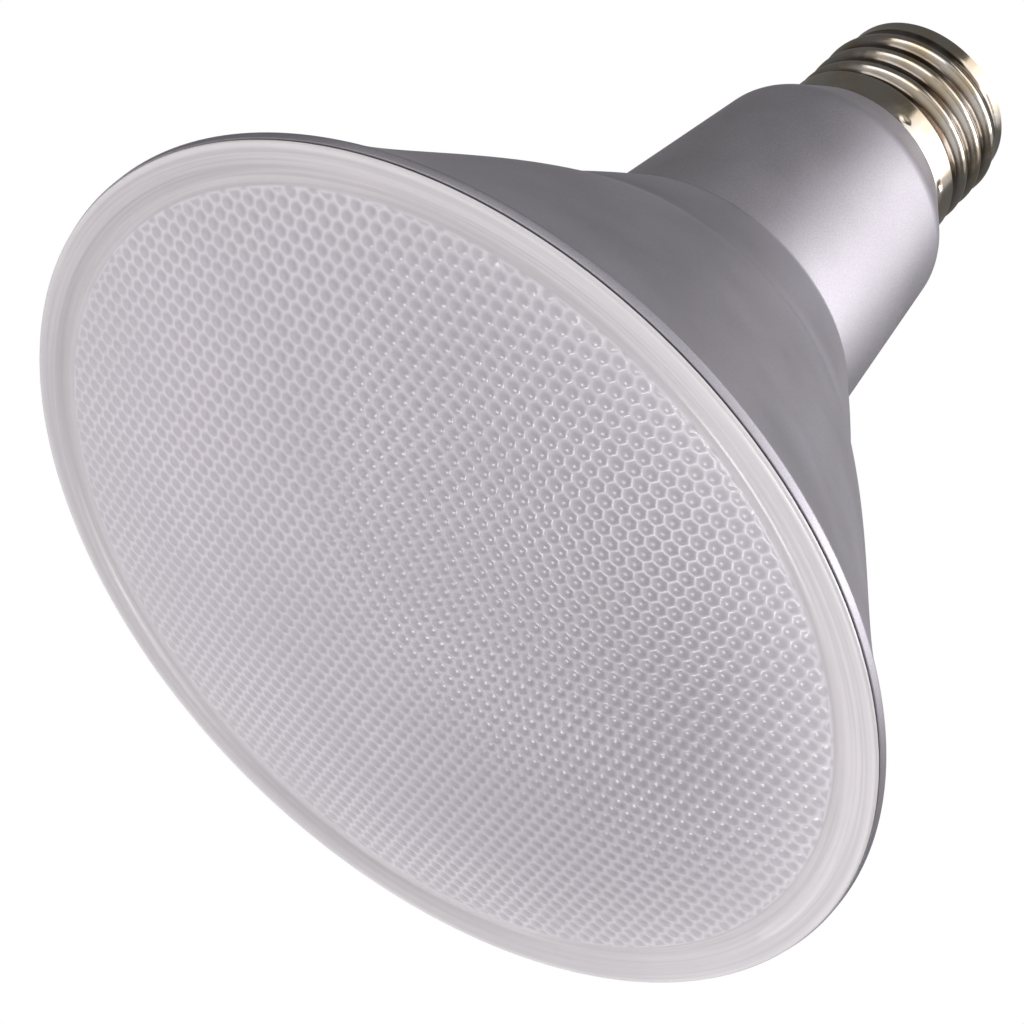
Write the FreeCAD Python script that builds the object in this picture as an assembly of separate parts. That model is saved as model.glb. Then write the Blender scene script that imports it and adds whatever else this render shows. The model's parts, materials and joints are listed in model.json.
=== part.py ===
"""Reflector spotlight lamp with a domed lens, a flared housing and a medium screw base.

The lamp stands on its lens, +Z runs along the axis towards the base, and the
origin is the front point of the dome. All sizes are millimetres.
"""

import FreeCAD, Part
import math
import os

from FreeCAD import Vector

# Lens, gasket and lip
lens_diameter = 119.4
dome_radius = 215.0
lens_wall = 2.2
rim_band = 5.7
groove_width = 3.2
groove_depth = 0.45
lens_edge_radius = 0.3
flange_thickness = 0.5
flange_width = 1.8
plug_clearance = 0.15
floor_clearance = 0.2
gasket_thickness = 0.2
gasket_recess = 0.3
lip_overhang = 0.15
lip_height = 1.5
lip_edge_radius = 0.12
lip_blend = 0.5

# Flared housing
flare_length = 39.3
flare_end_diameter = 64.6
flare_mouth_slope = -0.82
flare_end_slope = -0.8
crease_length = 4.0
band_length = 15.5
band_edge_radius = 0.5
joint_ledge = 1.45
housing_wall = 2.0
socket_ring_wall = 1.8

# Neck
spigot_length = 7.0
press_gap = 0.05
neck_diameter = 42.1
neck_length = 31.3
neck_end_diameter = 34.9
shoulder_round = 1.2
shoulder_length = 6.7
shoulder_end_diameter = 26.6
neck_wall = 1.8
rail_width = 4.6
rail_grip = 1.0
rail_length = 30.0

# Screw base
skirt_diameter = 26.4
shell_sheet = 0.3
skirt_length = 4.2
skirt_taper = 1.2
stake_count = 8
stake_first_angle = -13.0
stake_height = 1.05
stake_radius = 0.9
stake_depth = 0.16
thread_crest_diameter = 26.2
thread_root_diameter = 24.7
thread_pitch = 3.629
thread_turns = 3.1
thread_first_angle = 100.0
thread_base_width = 2.5
thread_crest_width = 0.7
thread_run_out = 0.25
thread_steps = 40
shell_round = 2.2
shell_mouth_diameter = 20.4
spigot_height = 6.0
spigot_wall = 1.2
insulator_height = 4.6
insulator_end_diameter = 11.2
insulator_flange = 1.5
insulator_bulge = 0.3
contact_diameter = 9.6
contact_height = 1.5
contact_edge = 0.5
contact_stem_diameter = 2.6
contact_stem_length = 6.2

# Light engine
reflector_wall = 1.2
reflector_flange = 1.0
reflector_flange_gap = 0.4
reflector_foot_diameter = 55.0
board_depth = 21.0
led_board_diameter = 57.0
led_board_thickness = 1.6
pad_thickness = 0.3
spreader_thickness = 2.0
spreader_rim = 8.0
spreader_rim_wall = 1.5
lead_hole_diameter = 4.4
screw_circle_diameter = 29.0
screw_count = 3
screw_diameter = 3.0
screw_head_diameter = 5.5
screw_head_height = 1.8
screw_length = 7.0
screw_socket = 2.0
boss_wall = 2.0
boss_height = 4.0
led_size = 3.0
led_height = 0.7
led_inner_ring = 20.0
led_inner_count = 8
led_outer_ring = 38.0
led_outer_count = 14

# Driver
driver_board_thickness = 1.6
driver_board_top = 1.8
board_margin = 4.0
part_gap = 1.5
board_side_clearance = 0.6
slot_clearance = 0.1
wire_diameter = 0.9
wire_pitch = 2.0
connector_size = (8.0, 5.0, 3.2)
neutral_wire_diameter = 0.8
neutral_bend = 1.2
neutral_offset = 8.5
core_length = 16.0
core_height = 14.0
core_thickness = 5.0
core_leg = 4.8
core_side_leg = 2.2
bobbin_wall = 0.6
bobbin_flange = 0.8
winding_depth = 1.5
film_capacitor_size = (10.0, 8.0, 5.0)
can_diameter = 8.0
can_length = 12.0
can_groove = 0.4
choke_diameter = 8.0
choke_height = 9.0
choke_waist = 3.4
choke_flange = 1.2
varistor_diameter = 7.0
varistor_thickness = 3.2
rectifier_size = (4.7, 2.5, 3.9)
chip_size = (5.0, 1.4, 4.0)
chip_lift = 0.15
chip_leg_width = 0.4
chip_legs = 4
diode_size = (3.6, 2.2, 4.4)
diode_tab = 0.9
resistor_diameter = 3.2
resistor_length = 9.0
resistor_lead_diameter = 0.7

# Radii that follow from the diameters
lens_radius = lens_diameter / 2
field_radius = lens_radius - rim_band
rebate_radius = lens_radius - flange_width
plug_radius = rebate_radius - plug_clearance
lip_radius = lens_radius + lip_overhang
flare_start_radius = lip_radius + flare_mouth_slope * lip_blend / 2
flare_end_radius = flare_end_diameter / 2
neck_radius = neck_diameter / 2
neck_end_radius = neck_end_diameter / 2
shoulder_end_radius = shoulder_end_diameter / 2
band_end_radius = neck_radius + joint_ledge
skirt_radius = skirt_diameter / 2
crest_radius = thread_crest_diameter / 2
root_radius = thread_root_diameter / 2
bore_radius = root_radius - shell_sheet
mouth_radius = shell_mouth_diameter / 2

# Levels along the axis, from the lens to the contact
rim_plane = dome_radius - math.sqrt(dome_radius ** 2 - field_radius ** 2)
back_plane = dome_radius - math.sqrt((dome_radius - lens_wall) ** 2 - field_radius ** 2)
flange_back = rim_plane + flange_thickness
lip_front = flange_back + gasket_thickness
lip_rear = lip_front + lip_height
rebate_floor = back_plane + floor_clearance
flare_end = lip_rear + flare_length
bell_rear = flare_end + band_length
shoulder_start = bell_rear + neck_length
collar_seat = shoulder_start + shoulder_length
thread_start = collar_seat + skirt_length + skirt_taper
thread_end = thread_start + thread_turns * thread_pitch
shell_end = thread_end + shell_round
contact_seat = shell_end + insulator_height
lamp_end = contact_seat + contact_height
led_board_front = back_plane + board_depth
pad_front = led_board_front + led_board_thickness
spreader_front = pad_front + pad_thickness
board_top = shoulder_start + driver_board_top

# Driver parts in columns down the board: each level is the middle of a part
film_level = board_top - board_margin - film_capacitor_size[2] / 2
transformer_level = film_level - film_capacitor_size[2] / 2 - part_gap - core_height / 2
front_end = transformer_level - core_height / 2
rectifier_level = board_top - board_margin - rectifier_size[2] / 2
chip_level = rectifier_level - rectifier_size[2] / 2 - part_gap - chip_size[2] / 2
can_end = chip_level - chip_size[2] / 2 - part_gap - can_length
varistor_low = board_top - board_margin - varistor_thickness
diode_level = varistor_low - part_gap - diode_tab - diode_size[2] / 2
choke_level = diode_level - diode_size[2] / 2 - diode_tab - part_gap - choke_diameter / 2
choke_end = choke_level - choke_diameter / 2
board_bottom = min(front_end, can_end, choke_end) - board_margin
left_column = -(can_diameter + part_gap) / 2
right_column = (choke_diameter + part_gap) / 2

# Wall of the cone, measured straight out from the axis
flare_wall = housing_wall * math.hypot(1, (flare_start_radius - flare_end_radius) / flare_length)

# Slopes, as change of radius per height
band_drop = band_end_radius - flare_end_radius - flare_end_slope * crease_length / 2
band_slope = band_drop / (band_length - band_edge_radius - crease_length / 2)
neck_taper = (neck_end_radius - neck_radius) / neck_length
shoulder_slope = (shoulder_end_radius - neck_end_radius) / shoulder_length


# Small helpers for sections drawn as radius and height

def point(radius, height):
    return Vector(radius, 0, height)


def line(start, end):
    return Part.LineSegment(point(*start), point(*end)).toShape()


def arc(start, middle, end):
    return Part.Arc(point(*start), point(*middle), point(*end)).toShape()


def corner(start, end, centre):
    """Quarter round between two points about a centre."""
    radius = math.hypot(start[0] - centre[0], start[1] - centre[1])
    middle_r = (start[0] + end[0]) / 2 - centre[0]
    middle_z = (start[1] + end[1]) / 2 - centre[1]
    reach = radius / math.hypot(middle_r, middle_z)
    return arc(start, (centre[0] + middle_r * reach, centre[1] + middle_z * reach), end)


def sweep_curve(start, start_slope, end, end_slope):
    """Smooth curve between two points with a stated change of radius per height at each end."""
    third = (end[1] - start[1]) / 3
    poles = [
        point(*start),
        point(start[0] + start_slope * third, start[1] + third),
        point(end[0] - end_slope * third, end[1] - third),
        point(*end),
    ]
    curve = Part.BezierCurve()
    curve.setPoles(poles)
    return curve.toShape()


def turned(edges):
    """Solid of revolution of a closed section."""
    face = Part.Face(Part.Wire(edges))
    return face.revolve(Vector(0, 0, 0), Vector(0, 0, 1), 360)


def outline(points):
    """Edges of a closed polygon of radius and height."""
    return [line(points[i], points[(i + 1) % len(points)]) for i in range(len(points))]


def rod(radius, low, high, x=0.0, y=0.0):
    return Part.makeCylinder(radius, high - low, Vector(x, y, low))


def block(low, high):
    size = [high[i] - low[i] for i in range(3)]
    return Part.makeBox(size[0], size[1], size[2], Vector(*low))


def ring_places(count, diameter, first_angle=0.0):
    """Points evenly spaced on a circle, each with its angle."""
    places = []
    for index in range(count):
        angle = first_angle + 360.0 * index / count
        turn = math.radians(angle)
        places.append((diameter / 2 * math.cos(turn), diameter / 2 * math.sin(turn), angle))
    return places


def one_solid(shape):
    """The single solid of a boolean result, with needless seams removed."""
    clean = shape.removeSplitter()
    return clean.Solids[0] if len(clean.Solids) == 1 else clean


# Outer pieces

def dome_height(radius, sphere_radius):
    return dome_radius - math.sqrt(sphere_radius ** 2 - radius ** 2)


def lens():
    """Moulded lens: a shallow dome, a groove round it and a thin edge flange."""
    groove_outer = field_radius + groove_width
    groove_middle = field_radius + groove_width / 2
    inner_sphere = dome_radius - lens_wall
    half_field = field_radius / 2
    edge = lens_edge_radius
    edges = [
        arc((0, 0), (half_field, dome_height(half_field, dome_radius)), (field_radius, rim_plane)),
        arc((field_radius, rim_plane), (groove_middle, rim_plane + groove_depth), (groove_outer, rim_plane)),
        line((groove_outer, rim_plane), (lens_radius - edge, rim_plane)),
        corner((lens_radius - edge, rim_plane), (lens_radius, rim_plane + edge),
               (lens_radius - edge, rim_plane + edge)),
        line((lens_radius, rim_plane + edge), (lens_radius, flange_back)),
        line((lens_radius, flange_back), (plug_radius, flange_back)),
        line((plug_radius, flange_back), (plug_radius, back_plane)),
        line((plug_radius, back_plane), (field_radius, back_plane)),
        arc((field_radius, back_plane), (half_field, dome_height(half_field, inner_sphere)), (0, lens_wall)),
        line((0, lens_wall), (0, 0)),
    ]
    return turned(edges)


def lens_gasket():
    """Sealing ring between the lens flange and the lip, drawn in a little at its edge."""
    outer = lens_radius - gasket_recess
    middle = (flange_back + lip_front) / 2
    edges = [
        line((rebate_radius, flange_back), (outer, flange_back)),
        arc((outer, flange_back), (outer - gasket_thickness / 3, middle), (outer, lip_front)),
        line((outer, lip_front), (rebate_radius, lip_front)),
        line((rebate_radius, lip_front), (rebate_radius, flange_back)),
    ]
    return turned(edges)


def bell_outer():
    """Outside of the flared housing as a full solid."""
    edge = lip_edge_radius
    band_edge = band_edge_radius
    crease_drop = (flare_end_slope + band_slope) / 2 * crease_length
    crease_end = (flare_end_radius + crease_drop, flare_end + crease_length)
    edges = [
        line((0, lip_front), (lip_radius - edge, lip_front)),
        corner((lip_radius - edge, lip_front), (lip_radius, lip_front + edge),
               (lip_radius - edge, lip_front + edge)),
        line((lip_radius, lip_front + edge), (lip_radius, lip_rear - lip_blend)),
        sweep_curve((lip_radius, lip_rear - lip_blend), 0,
                    (flare_start_radius, lip_rear), flare_mouth_slope),
        sweep_curve((flare_start_radius, lip_rear), flare_mouth_slope,
                    (flare_end_radius, flare_end), flare_end_slope),
        sweep_curve((flare_end_radius, flare_end), flare_end_slope, crease_end, band_slope),
        line(crease_end, (band_end_radius, bell_rear - band_edge)),
        corner((band_end_radius, bell_rear - band_edge), (band_end_radius - band_edge, bell_rear),
               (band_end_radius - band_edge, bell_rear - band_edge)),
        line((band_end_radius - band_edge, bell_rear), (0, bell_rear)),
        line((0, bell_rear), (0, lip_front)),
    ]
    return turned(edges)


def bell_cavity(inset=0.0):
    """Room inside the flared housing, drawn in by an inset where a thinner shape is wanted."""
    wall = flare_wall + inset
    cone_start = (flare_start_radius - wall, rebate_floor)
    cone_end = (flare_end_radius - wall, flare_end)
    tail = (band_end_radius - wall, bell_rear)
    edges = [
        line((0, rebate_floor), cone_start),
        sweep_curve(cone_start, flare_mouth_slope, cone_end, flare_end_slope),
        line(cone_end, tail),
        line(tail, (0, bell_rear)),
        line((0, bell_rear), (0, rebate_floor)),
    ]
    return turned(edges)


def socket_radius():
    return band_end_radius - flare_wall


def reflector_housing():
    """Flared housing with its lip, lens rebate and the socket ring for the neck."""
    ring_outer = socket_radius() + socket_ring_wall
    ring_low = bell_rear - spigot_length
    ring = rod(ring_outer, ring_low, bell_rear).common(bell_outer())
    rebate = rod(rebate_radius, lip_front - 1, rebate_floor)
    shell = bell_outer().cut(bell_cavity()).cut(rebate)
    bore = rod(socket_radius(), ring_low - 1, bell_rear + 1)
    return one_solid(shell.fuse(ring).cut(bore))


def neck_outer():
    """Outside of the neck, shoulder and base spigot as a full solid."""
    bend_low = (neck_end_radius - neck_taper * shoulder_round, shoulder_start - shoulder_round)
    bend_high = (neck_end_radius + shoulder_slope * shoulder_round, shoulder_start + shoulder_round)
    shoulder_end = (shoulder_end_radius, collar_seat)
    collar_radius = skirt_radius - shell_sheet - press_gap
    spigot_radius = bore_radius - press_gap
    collar_end = collar_seat + skirt_length
    plug_out = socket_radius() - press_gap
    edges = [
        line((0, bell_rear - spigot_length), (plug_out, bell_rear - spigot_length)),
        line((plug_out, bell_rear - spigot_length), (plug_out, bell_rear)),
        line((plug_out, bell_rear), (neck_radius, bell_rear)),
        line((neck_radius, bell_rear), bend_low),
        sweep_curve(bend_low, neck_taper, bend_high, shoulder_slope),
        line(bend_high, shoulder_end),
        line(shoulder_end, (collar_radius, collar_seat)),
        line((collar_radius, collar_seat), (collar_radius, collar_end)),
        line((collar_radius, collar_end), (spigot_radius, collar_end + skirt_taper)),
        line((spigot_radius, collar_end + skirt_taper), (spigot_radius, collar_end + spigot_height)),
        line((spigot_radius, collar_end + spigot_height), (0, collar_end + spigot_height)),
        line((0, collar_end + spigot_height), (0, bell_rear - spigot_length)),
    ]
    return turned(edges)


def neck_bore_radius():
    return bore_radius - press_gap - spigot_wall


def neck_room_radius():
    """Inner radius of the neck where the shoulder starts."""
    return neck_end_radius - neck_wall


def neck_cavity():
    """Room inside the neck, from its open front to the bore of the base spigot."""
    front_radius = socket_radius() - press_gap - neck_wall
    front = bell_rear - spigot_length
    room_end = (neck_room_radius(), shoulder_start)
    bore_start = (neck_bore_radius(), collar_seat - neck_wall)
    top = collar_seat + skirt_length + spigot_height
    edges = [
        line((0, front), (front_radius, front)),
        line((front_radius, front), (front_radius, bell_rear)),
        line((front_radius, bell_rear), room_end),
        line(room_end, bore_start),
        line(bore_start, (neck_bore_radius(), top)),
        line((neck_bore_radius(), top), (0, top)),
        line((0, top), (0, front)),
    ]
    return turned(edges)


def board_half_width():
    """Half the width of the driver board, fitted to the shoulder beside its top edge."""
    room = neck_room_radius()
    share = driver_board_top / (shoulder_length - neck_wall)
    return room + (neck_bore_radius() - room) * share - board_side_clearance


def board_rails():
    """Two slotted ribs inside the neck that carry the driver board."""
    half = board_half_width()
    stop = board_top + rail_grip
    low = stop - rail_length
    reach = neck_diameter
    rails = block((half - rail_grip, -rail_width / 2, low), (reach, rail_width / 2, stop))
    rails = rails.fuse(block((-reach, -rail_width / 2, low), (rail_grip - half, rail_width / 2, stop)))
    slot_half = driver_board_thickness / 2 + slot_clearance
    side = half + slot_clearance
    return rails.cut(block((-side, -slot_half, low), (side, slot_half, board_top)))


def driver_housing():
    """Neck that holds the driver, with its front spigot, rounded shoulder and base spigot."""
    room = neck_cavity().cut(board_rails())
    return one_solid(neck_outer().cut(room))


# Screw base

def thread_section(turn):
    """Ridge section at one place of the thread, low at both ends where the thread runs out."""
    angle = math.radians(thread_first_angle) + 2 * math.pi * turn
    height = thread_start + thread_pitch * turn
    rise = min(1.0, turn / thread_run_out, (thread_turns - turn) / thread_run_out)
    lift = (crest_radius - root_radius) * max(rise, 0.02)
    half_base = thread_base_width / 2
    half_crest = thread_crest_width / 2
    half_flank = half_base * 0.42 + half_crest * 0.58
    ridge = [
        (-shell_sheet / 2, -half_base),
        (0, -half_base),
        (lift * 0.72, -half_flank),
        (lift, -half_crest),
        (lift, half_crest),
        (lift * 0.72, half_flank),
        (0, half_base),
        (-shell_sheet / 2, half_base),
    ]
    points = []
    for out, along in ridge:
        radius = root_radius + out
        points.append(Vector(radius * math.cos(angle), radius * math.sin(angle), height + along))
    return Part.makePolygon(points + [points[0]])


def thread_ridge():
    """Rounded helical ridge lofted through its sections, one after another up the helix."""
    count = int(round(thread_turns * thread_steps))
    sections = [thread_section(thread_turns * index / count) for index in range(count + 1)]
    return Part.makeLoft(sections, True, True)


def shell_end_round():
    """Outer and inner quarter rounds at the tip end of the shell: start, middle and end points."""
    low = thread_end
    depth = root_radius - mouth_radius
    outer = ((root_radius, low), (root_radius - depth * 0.2, low + shell_round * 0.72), (mouth_radius, shell_end))
    inner = (
        (bore_radius, low),
        (bore_radius - depth * 0.2, low + shell_round * 0.72 - shell_sheet),
        (mouth_radius, shell_end - shell_sheet),
    )
    return outer, inner


def shell_room():
    """Room inside the skirt and the thread, where no part of the ridge may reach."""
    skirt_in = skirt_radius - shell_sheet
    skirt_end = collar_seat + skirt_length
    points = [
        (0, collar_seat - 1),
        (skirt_in, collar_seat - 1),
        (skirt_in, skirt_end),
        (bore_radius, skirt_end + skirt_taper),
        (bore_radius, thread_end),
        (0, thread_end),
    ]
    return turned(outline(points))


def screw_shell():
    """Rolled sheet shell: plain skirt with stake marks, helical thread and rounded tip end."""
    outer, inner = shell_end_round()
    skirt_in = skirt_radius - shell_sheet
    skirt_end = collar_seat + skirt_length
    edges = [
        line((skirt_in, collar_seat), (skirt_radius, collar_seat)),
        line((skirt_radius, collar_seat), (skirt_radius, skirt_end)),
        line((skirt_radius, skirt_end), (root_radius, skirt_end + skirt_taper)),
        line((root_radius, skirt_end + skirt_taper), outer[0]),
        arc(*outer),
        line(outer[2], inner[2]),
        arc(inner[2], inner[1], inner[0]),
        line(inner[0], (bore_radius, skirt_end + skirt_taper)),
        line((bore_radius, skirt_end + skirt_taper), (skirt_in, skirt_end)),
        line((skirt_in, skirt_end), (skirt_in, collar_seat)),
    ]
    shell = turned(edges).fuse(thread_ridge().cut(shell_room()))
    height = collar_seat + stake_height
    for x, y, angle in ring_places(stake_count, skirt_diameter, stake_first_angle):
        mark = Part.makeSphere(stake_radius)
        shift = (skirt_radius - stake_depth + stake_radius) / skirt_radius
        mark.translate(Vector(x * shift, y * shift, height))
        shell = shell.cut(mark)
    return shell.Solids[0] if len(shell.Solids) == 1 else shell


def base_insulator():
    """Moulded insulator that fills the tip end of the shell and carries the contact."""
    outer, inner = shell_end_round()
    low = thread_end - insulator_flange
    end = insulator_end_diameter / 2
    stem = contact_stem_diameter / 2
    edges = [
        line((stem, low), (bore_radius, low)),
        line((bore_radius, low), inner[0]),
        arc(*inner),
        line(inner[2], outer[2]),
        arc(outer[2], ((mouth_radius + end) / 2 + insulator_bulge, (shell_end + contact_seat) / 2), (end, contact_seat)),
        line((end, contact_seat), (stem, contact_seat)),
        line((stem, contact_seat), (stem, low)),
    ]
    return turned(edges)


def centre_contact():
    """Domed contact button with the rivet stem that passes through the insulator."""
    radius = contact_diameter / 2
    stem = contact_stem_diameter / 2
    stem_low = contact_seat - contact_stem_length
    rise = contact_height - contact_edge
    sphere_radius = (radius ** 2 + rise ** 2) / (2 * rise)
    middle = (radius / 2, lamp_end - sphere_radius + math.sqrt(sphere_radius ** 2 - radius ** 2 / 4))
    edge = (radius, contact_seat + contact_edge)
    edges = [
        line((0, stem_low), (stem, stem_low)),
        line((stem, stem_low), (stem, contact_seat)),
        line((stem, contact_seat), (radius, contact_seat)),
        line((radius, contact_seat), edge),
        arc(edge, middle, (0, lamp_end)),
        line((0, lamp_end), (0, stem_low)),
    ]
    return turned(edges)


# Light engine

def inner_reflector():
    """Curved white cone from the light board out to the back of the lens."""
    foot = reflector_foot_diameter / 2
    front = back_plane
    flange_radius = flare_start_radius - flare_wall - reflector_flange - reflector_flange_gap
    mouth = field_radius - reflector_wall * 2
    depth = led_board_front - front
    slope = (foot - mouth) / depth
    flange_end = (mouth + reflector_wall, front + reflector_flange)
    edges = [
        line((mouth, front), (flange_radius, front)),
        line((flange_radius, front), (flange_radius, front + reflector_flange)),
        line((flange_radius, front + reflector_flange), flange_end),
        sweep_curve(flange_end, slope * 0.7, (foot, led_board_front), slope * 1.3),
        line((foot, led_board_front), (foot - reflector_wall, led_board_front)),
        sweep_curve((foot - reflector_wall, led_board_front), slope * 1.3, (mouth, front), slope * 0.7),
    ]
    return turned(edges)


def screw_places():
    return ring_places(screw_count, screw_circle_diameter, 90.0)


def drilled_disc(diameter, low, high, hole_diameter):
    """Disc with the lead hole at its centre and a clear hole at each screw."""
    disc = rod(diameter / 2, low, high)
    disc = disc.cut(rod(lead_hole_diameter / 2, low, high))
    for x, y, angle in screw_places():
        disc = disc.cut(rod(hole_diameter / 2, low, high, x, y))
    return disc


def led_board():
    return drilled_disc(led_board_diameter, led_board_front, pad_front, screw_diameter + 2 * press_gap)


def thermal_pad():
    return drilled_disc(led_board_diameter, pad_front, spreader_front, screw_diameter + 2 * press_gap)


def heat_spreader():
    """Pressed cup: a flat plate for the board and a rim that follows the housing's inner wall."""
    top = spreader_front + spreader_thickness + spreader_rim
    slab = rod(lens_radius, spreader_front, top)
    pocket = rod(lens_radius, spreader_front + spreader_thickness, top)
    cup = bell_cavity().common(slab)
    cup = cup.cut(bell_cavity(spreader_rim_wall).common(pocket))
    plate_back = spreader_front + spreader_thickness
    boss_radius = screw_diameter / 2 + boss_wall
    for x, y, angle in screw_places():
        cup = cup.fuse(rod(boss_radius, plate_back, plate_back + boss_height, x, y))
    for x, y, angle in screw_places():
        cup = cup.cut(rod(screw_diameter / 2, spreader_front, plate_back + boss_height, x, y))
    cup = cup.cut(rod(lead_hole_diameter / 2, spreader_front, plate_back))
    return one_solid(cup)


def board_screws():
    """Pan-head screws that hold the light board, each with a hexagon socket."""
    screws = []
    head_low = led_board_front - screw_head_height
    for x, y, angle in screw_places():
        head = Part.makeCylinder(screw_head_diameter / 2, screw_head_height, Vector(x, y, head_low))
        head = head.makeFillet(screw_head_height / 3, [head.Edges[2]])
        shank = rod(screw_diameter / 2, led_board_front, led_board_front + screw_length, x, y)
        corners = []
        for px, py, turn in ring_places(6, screw_socket * 2 / math.sqrt(3)):
            corners.append(Vector(x + px, y + py, head_low))
        socket = Part.Face(Part.makePolygon(corners + [corners[0]]))
        screw = head.fuse(shank).cut(socket.extrude(Vector(0, 0, screw_head_height / 2)))
        screws.append(one_solid(screw))
    return Part.makeCompound(screws)


def led_packages():
    """Square light-emitting packages in two rings, each with a shallow round window."""
    packages = []
    half = led_size / 2
    low = led_board_front - led_height
    rings = ring_places(led_inner_count, led_inner_ring) + ring_places(led_outer_count, led_outer_ring)
    for x, y, angle in rings:
        package = block((-half, -half, low), (half, half, led_board_front))
        package = package.cut(Part.makeCone(half * 0.8, half * 0.6, led_height / 2, Vector(0, 0, low)))
        package.rotate(Vector(0, 0, 0), Vector(0, 0, 1), angle)
        package.translate(Vector(x, y, 0))
        packages.append(package)
    return Part.makeCompound(packages)


def lead_connector():
    """Terminal block over the lead hole, with a wire entry on each side."""
    width, depth, height = connector_size
    low = led_board_front - height
    body = block((-width / 2, -depth / 2, low), (width / 2, depth / 2, led_board_front))
    edges = [edge for edge in body.Edges if abs(edge.BoundBox.ZMax - low) < 1e-6]
    return body.makeChamfer(height / 8, edges)


def led_leads():
    """Two wires from the driver board, through the spreader, to the terminal block."""
    wires = []
    for side in (-1, 1):
        wires.append(rod(wire_diameter / 2, led_board_front, board_bottom, side * wire_pitch / 2))
    return Part.makeCompound(wires)


# Driver

def driver_board():
    half = board_half_width()
    thick = driver_board_thickness / 2
    return block((-half, -thick, board_bottom), (half, thick, board_top))


def front_face():
    """The face of the driver board that carries the transformer."""
    return driver_board_thickness / 2


def back_face():
    return -driver_board_thickness / 2


def transformer_centre():
    """Middle of the transformer: its flanges stand on the board."""
    reach = core_thickness / 2 + bobbin_wall + winding_depth + bobbin_wall
    return front_face() + reach, transformer_level


def centred_block(size_x, size_y, size_z, y, z, x=0.0):
    low = (x - size_x / 2, y - size_y / 2, z - size_z / 2)
    high = (x + size_x / 2, y + size_y / 2, z + size_z / 2)
    return block(low, high)


def transformer_core():
    """Pair of E-shaped ferrite halves with one centre leg and two windows."""
    y, z = transformer_centre()
    core = centred_block(core_length, core_thickness, core_height, y, z)
    window = (core_height - core_leg) / 2 - core_side_leg
    opening = core_length - 2 * core_side_leg
    offset = core_leg / 2 + window / 2
    for side in (-1, 1):
        core = core.cut(centred_block(opening, core_thickness * 2, window, y, z + side * offset))
    return core


def transformer_bobbin():
    """Spool round the centre leg, whose end flanges stand on the board."""
    y, z = transformer_centre()
    opening = core_length - 2 * core_side_leg
    tube_y = core_thickness + 2 * bobbin_wall
    tube_z = core_leg + 2 * bobbin_wall
    spool = centred_block(opening, tube_y, tube_z, y, z)
    flange_y = 2 * (y - front_face())
    window = (core_height - core_leg) / 2 - core_side_leg
    flange_z = core_leg + 2 * window
    for side in (-1, 1):
        x = side * (opening - bobbin_flange) / 2
        spool = spool.fuse(centred_block(bobbin_flange, flange_y, flange_z, y, z, x))
    return one_solid(spool.cut(centred_block(opening * 2, core_thickness, core_leg, y, z)))


def transformer_winding():
    """Copper winding between the bobbin's flanges, with rounded corners."""
    y, z = transformer_centre()
    width = core_length - 2 * core_side_leg - 2 * bobbin_flange
    window = (core_height - core_leg) / 2 - core_side_leg
    fill = min(winding_depth, window - bobbin_wall)
    tube_y = core_thickness + 2 * bobbin_wall
    tube_z = core_leg + 2 * bobbin_wall
    coil = centred_block(width, tube_y + 2 * winding_depth, tube_z + 2 * fill, y, z)
    long_edges = [edge for edge in coil.Edges if edge.BoundBox.XLength > width / 2]
    coil = coil.makeFillet(fill * 0.8, long_edges)
    return coil.cut(centred_block(width * 2, tube_y, tube_z, y, z))


def film_capacitor():
    """Boxed film capacitor standing on the board, with rounded upright edges."""
    width, height, depth = film_capacitor_size
    y = front_face() + height / 2
    body = centred_block(width, height, depth, y, film_level)
    upright = [edge for edge in body.Edges if edge.BoundBox.YLength > height / 2]
    return body.makeFillet(depth / 8, upright)


def smoothing_capacitor():
    """Aluminium can lying on the back of the board, with a rolled groove near its seal."""
    radius = can_diameter / 2
    groove = can_length * 0.15
    edges = [
        line((0, 0), (radius, 0)),
        line((radius, 0), (radius, groove - can_groove)),
        arc((radius, groove - can_groove), (radius - can_groove, groove), (radius, groove + can_groove)),
        line((radius, groove + can_groove), (radius, can_length)),
        line((radius, can_length), (0, can_length)),
        line((0, can_length), (0, 0)),
    ]
    can = turned(edges)
    can.translate(Vector(left_column, back_face() - radius, can_end))
    return can


def along_y(shape, x, z):
    """Turns a piece modelled upright so that it stands out from the back of the board."""
    shape.rotate(Vector(0, 0, 0), Vector(1, 0, 0), 90)
    shape.translate(Vector(x, back_face(), z))
    return shape


def choke_core():
    """Ferrite drum standing on the back of the board."""
    radius = choke_diameter / 2
    waist = choke_waist / 2
    points = [
        (0, 0),
        (radius, 0),
        (radius, choke_flange),
        (waist, choke_flange),
        (waist, choke_height - choke_flange),
        (radius, choke_height - choke_flange),
        (radius, choke_height),
        (0, choke_height),
    ]
    return along_y(turned(outline(points)), right_column, choke_level)


def choke_winding():
    """Wire wound in the waist of the drum."""
    outer = choke_diameter / 2 - choke_flange / 2
    waist = choke_waist / 2
    low = choke_flange
    high = choke_height - choke_flange
    edges = [
        line((waist, low), (outer, low)),
        arc((outer, low), (outer + choke_flange / 4, (low + high) / 2), (outer, high)),
        line((outer, high), (waist, high)),
        line((waist, high), (waist, low)),
    ]
    return along_y(turned(edges), right_column, choke_level)


def varistor():
    """Coated disc standing on its edge on the back of the board."""
    radius = varistor_diameter / 2
    disc = Part.makeCylinder(radius, varistor_thickness)
    disc = disc.makeFillet(varistor_thickness / 3, [disc.Edges[0], disc.Edges[2]])
    disc.translate(Vector(right_column, back_face() - radius, varistor_low))
    return disc


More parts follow.
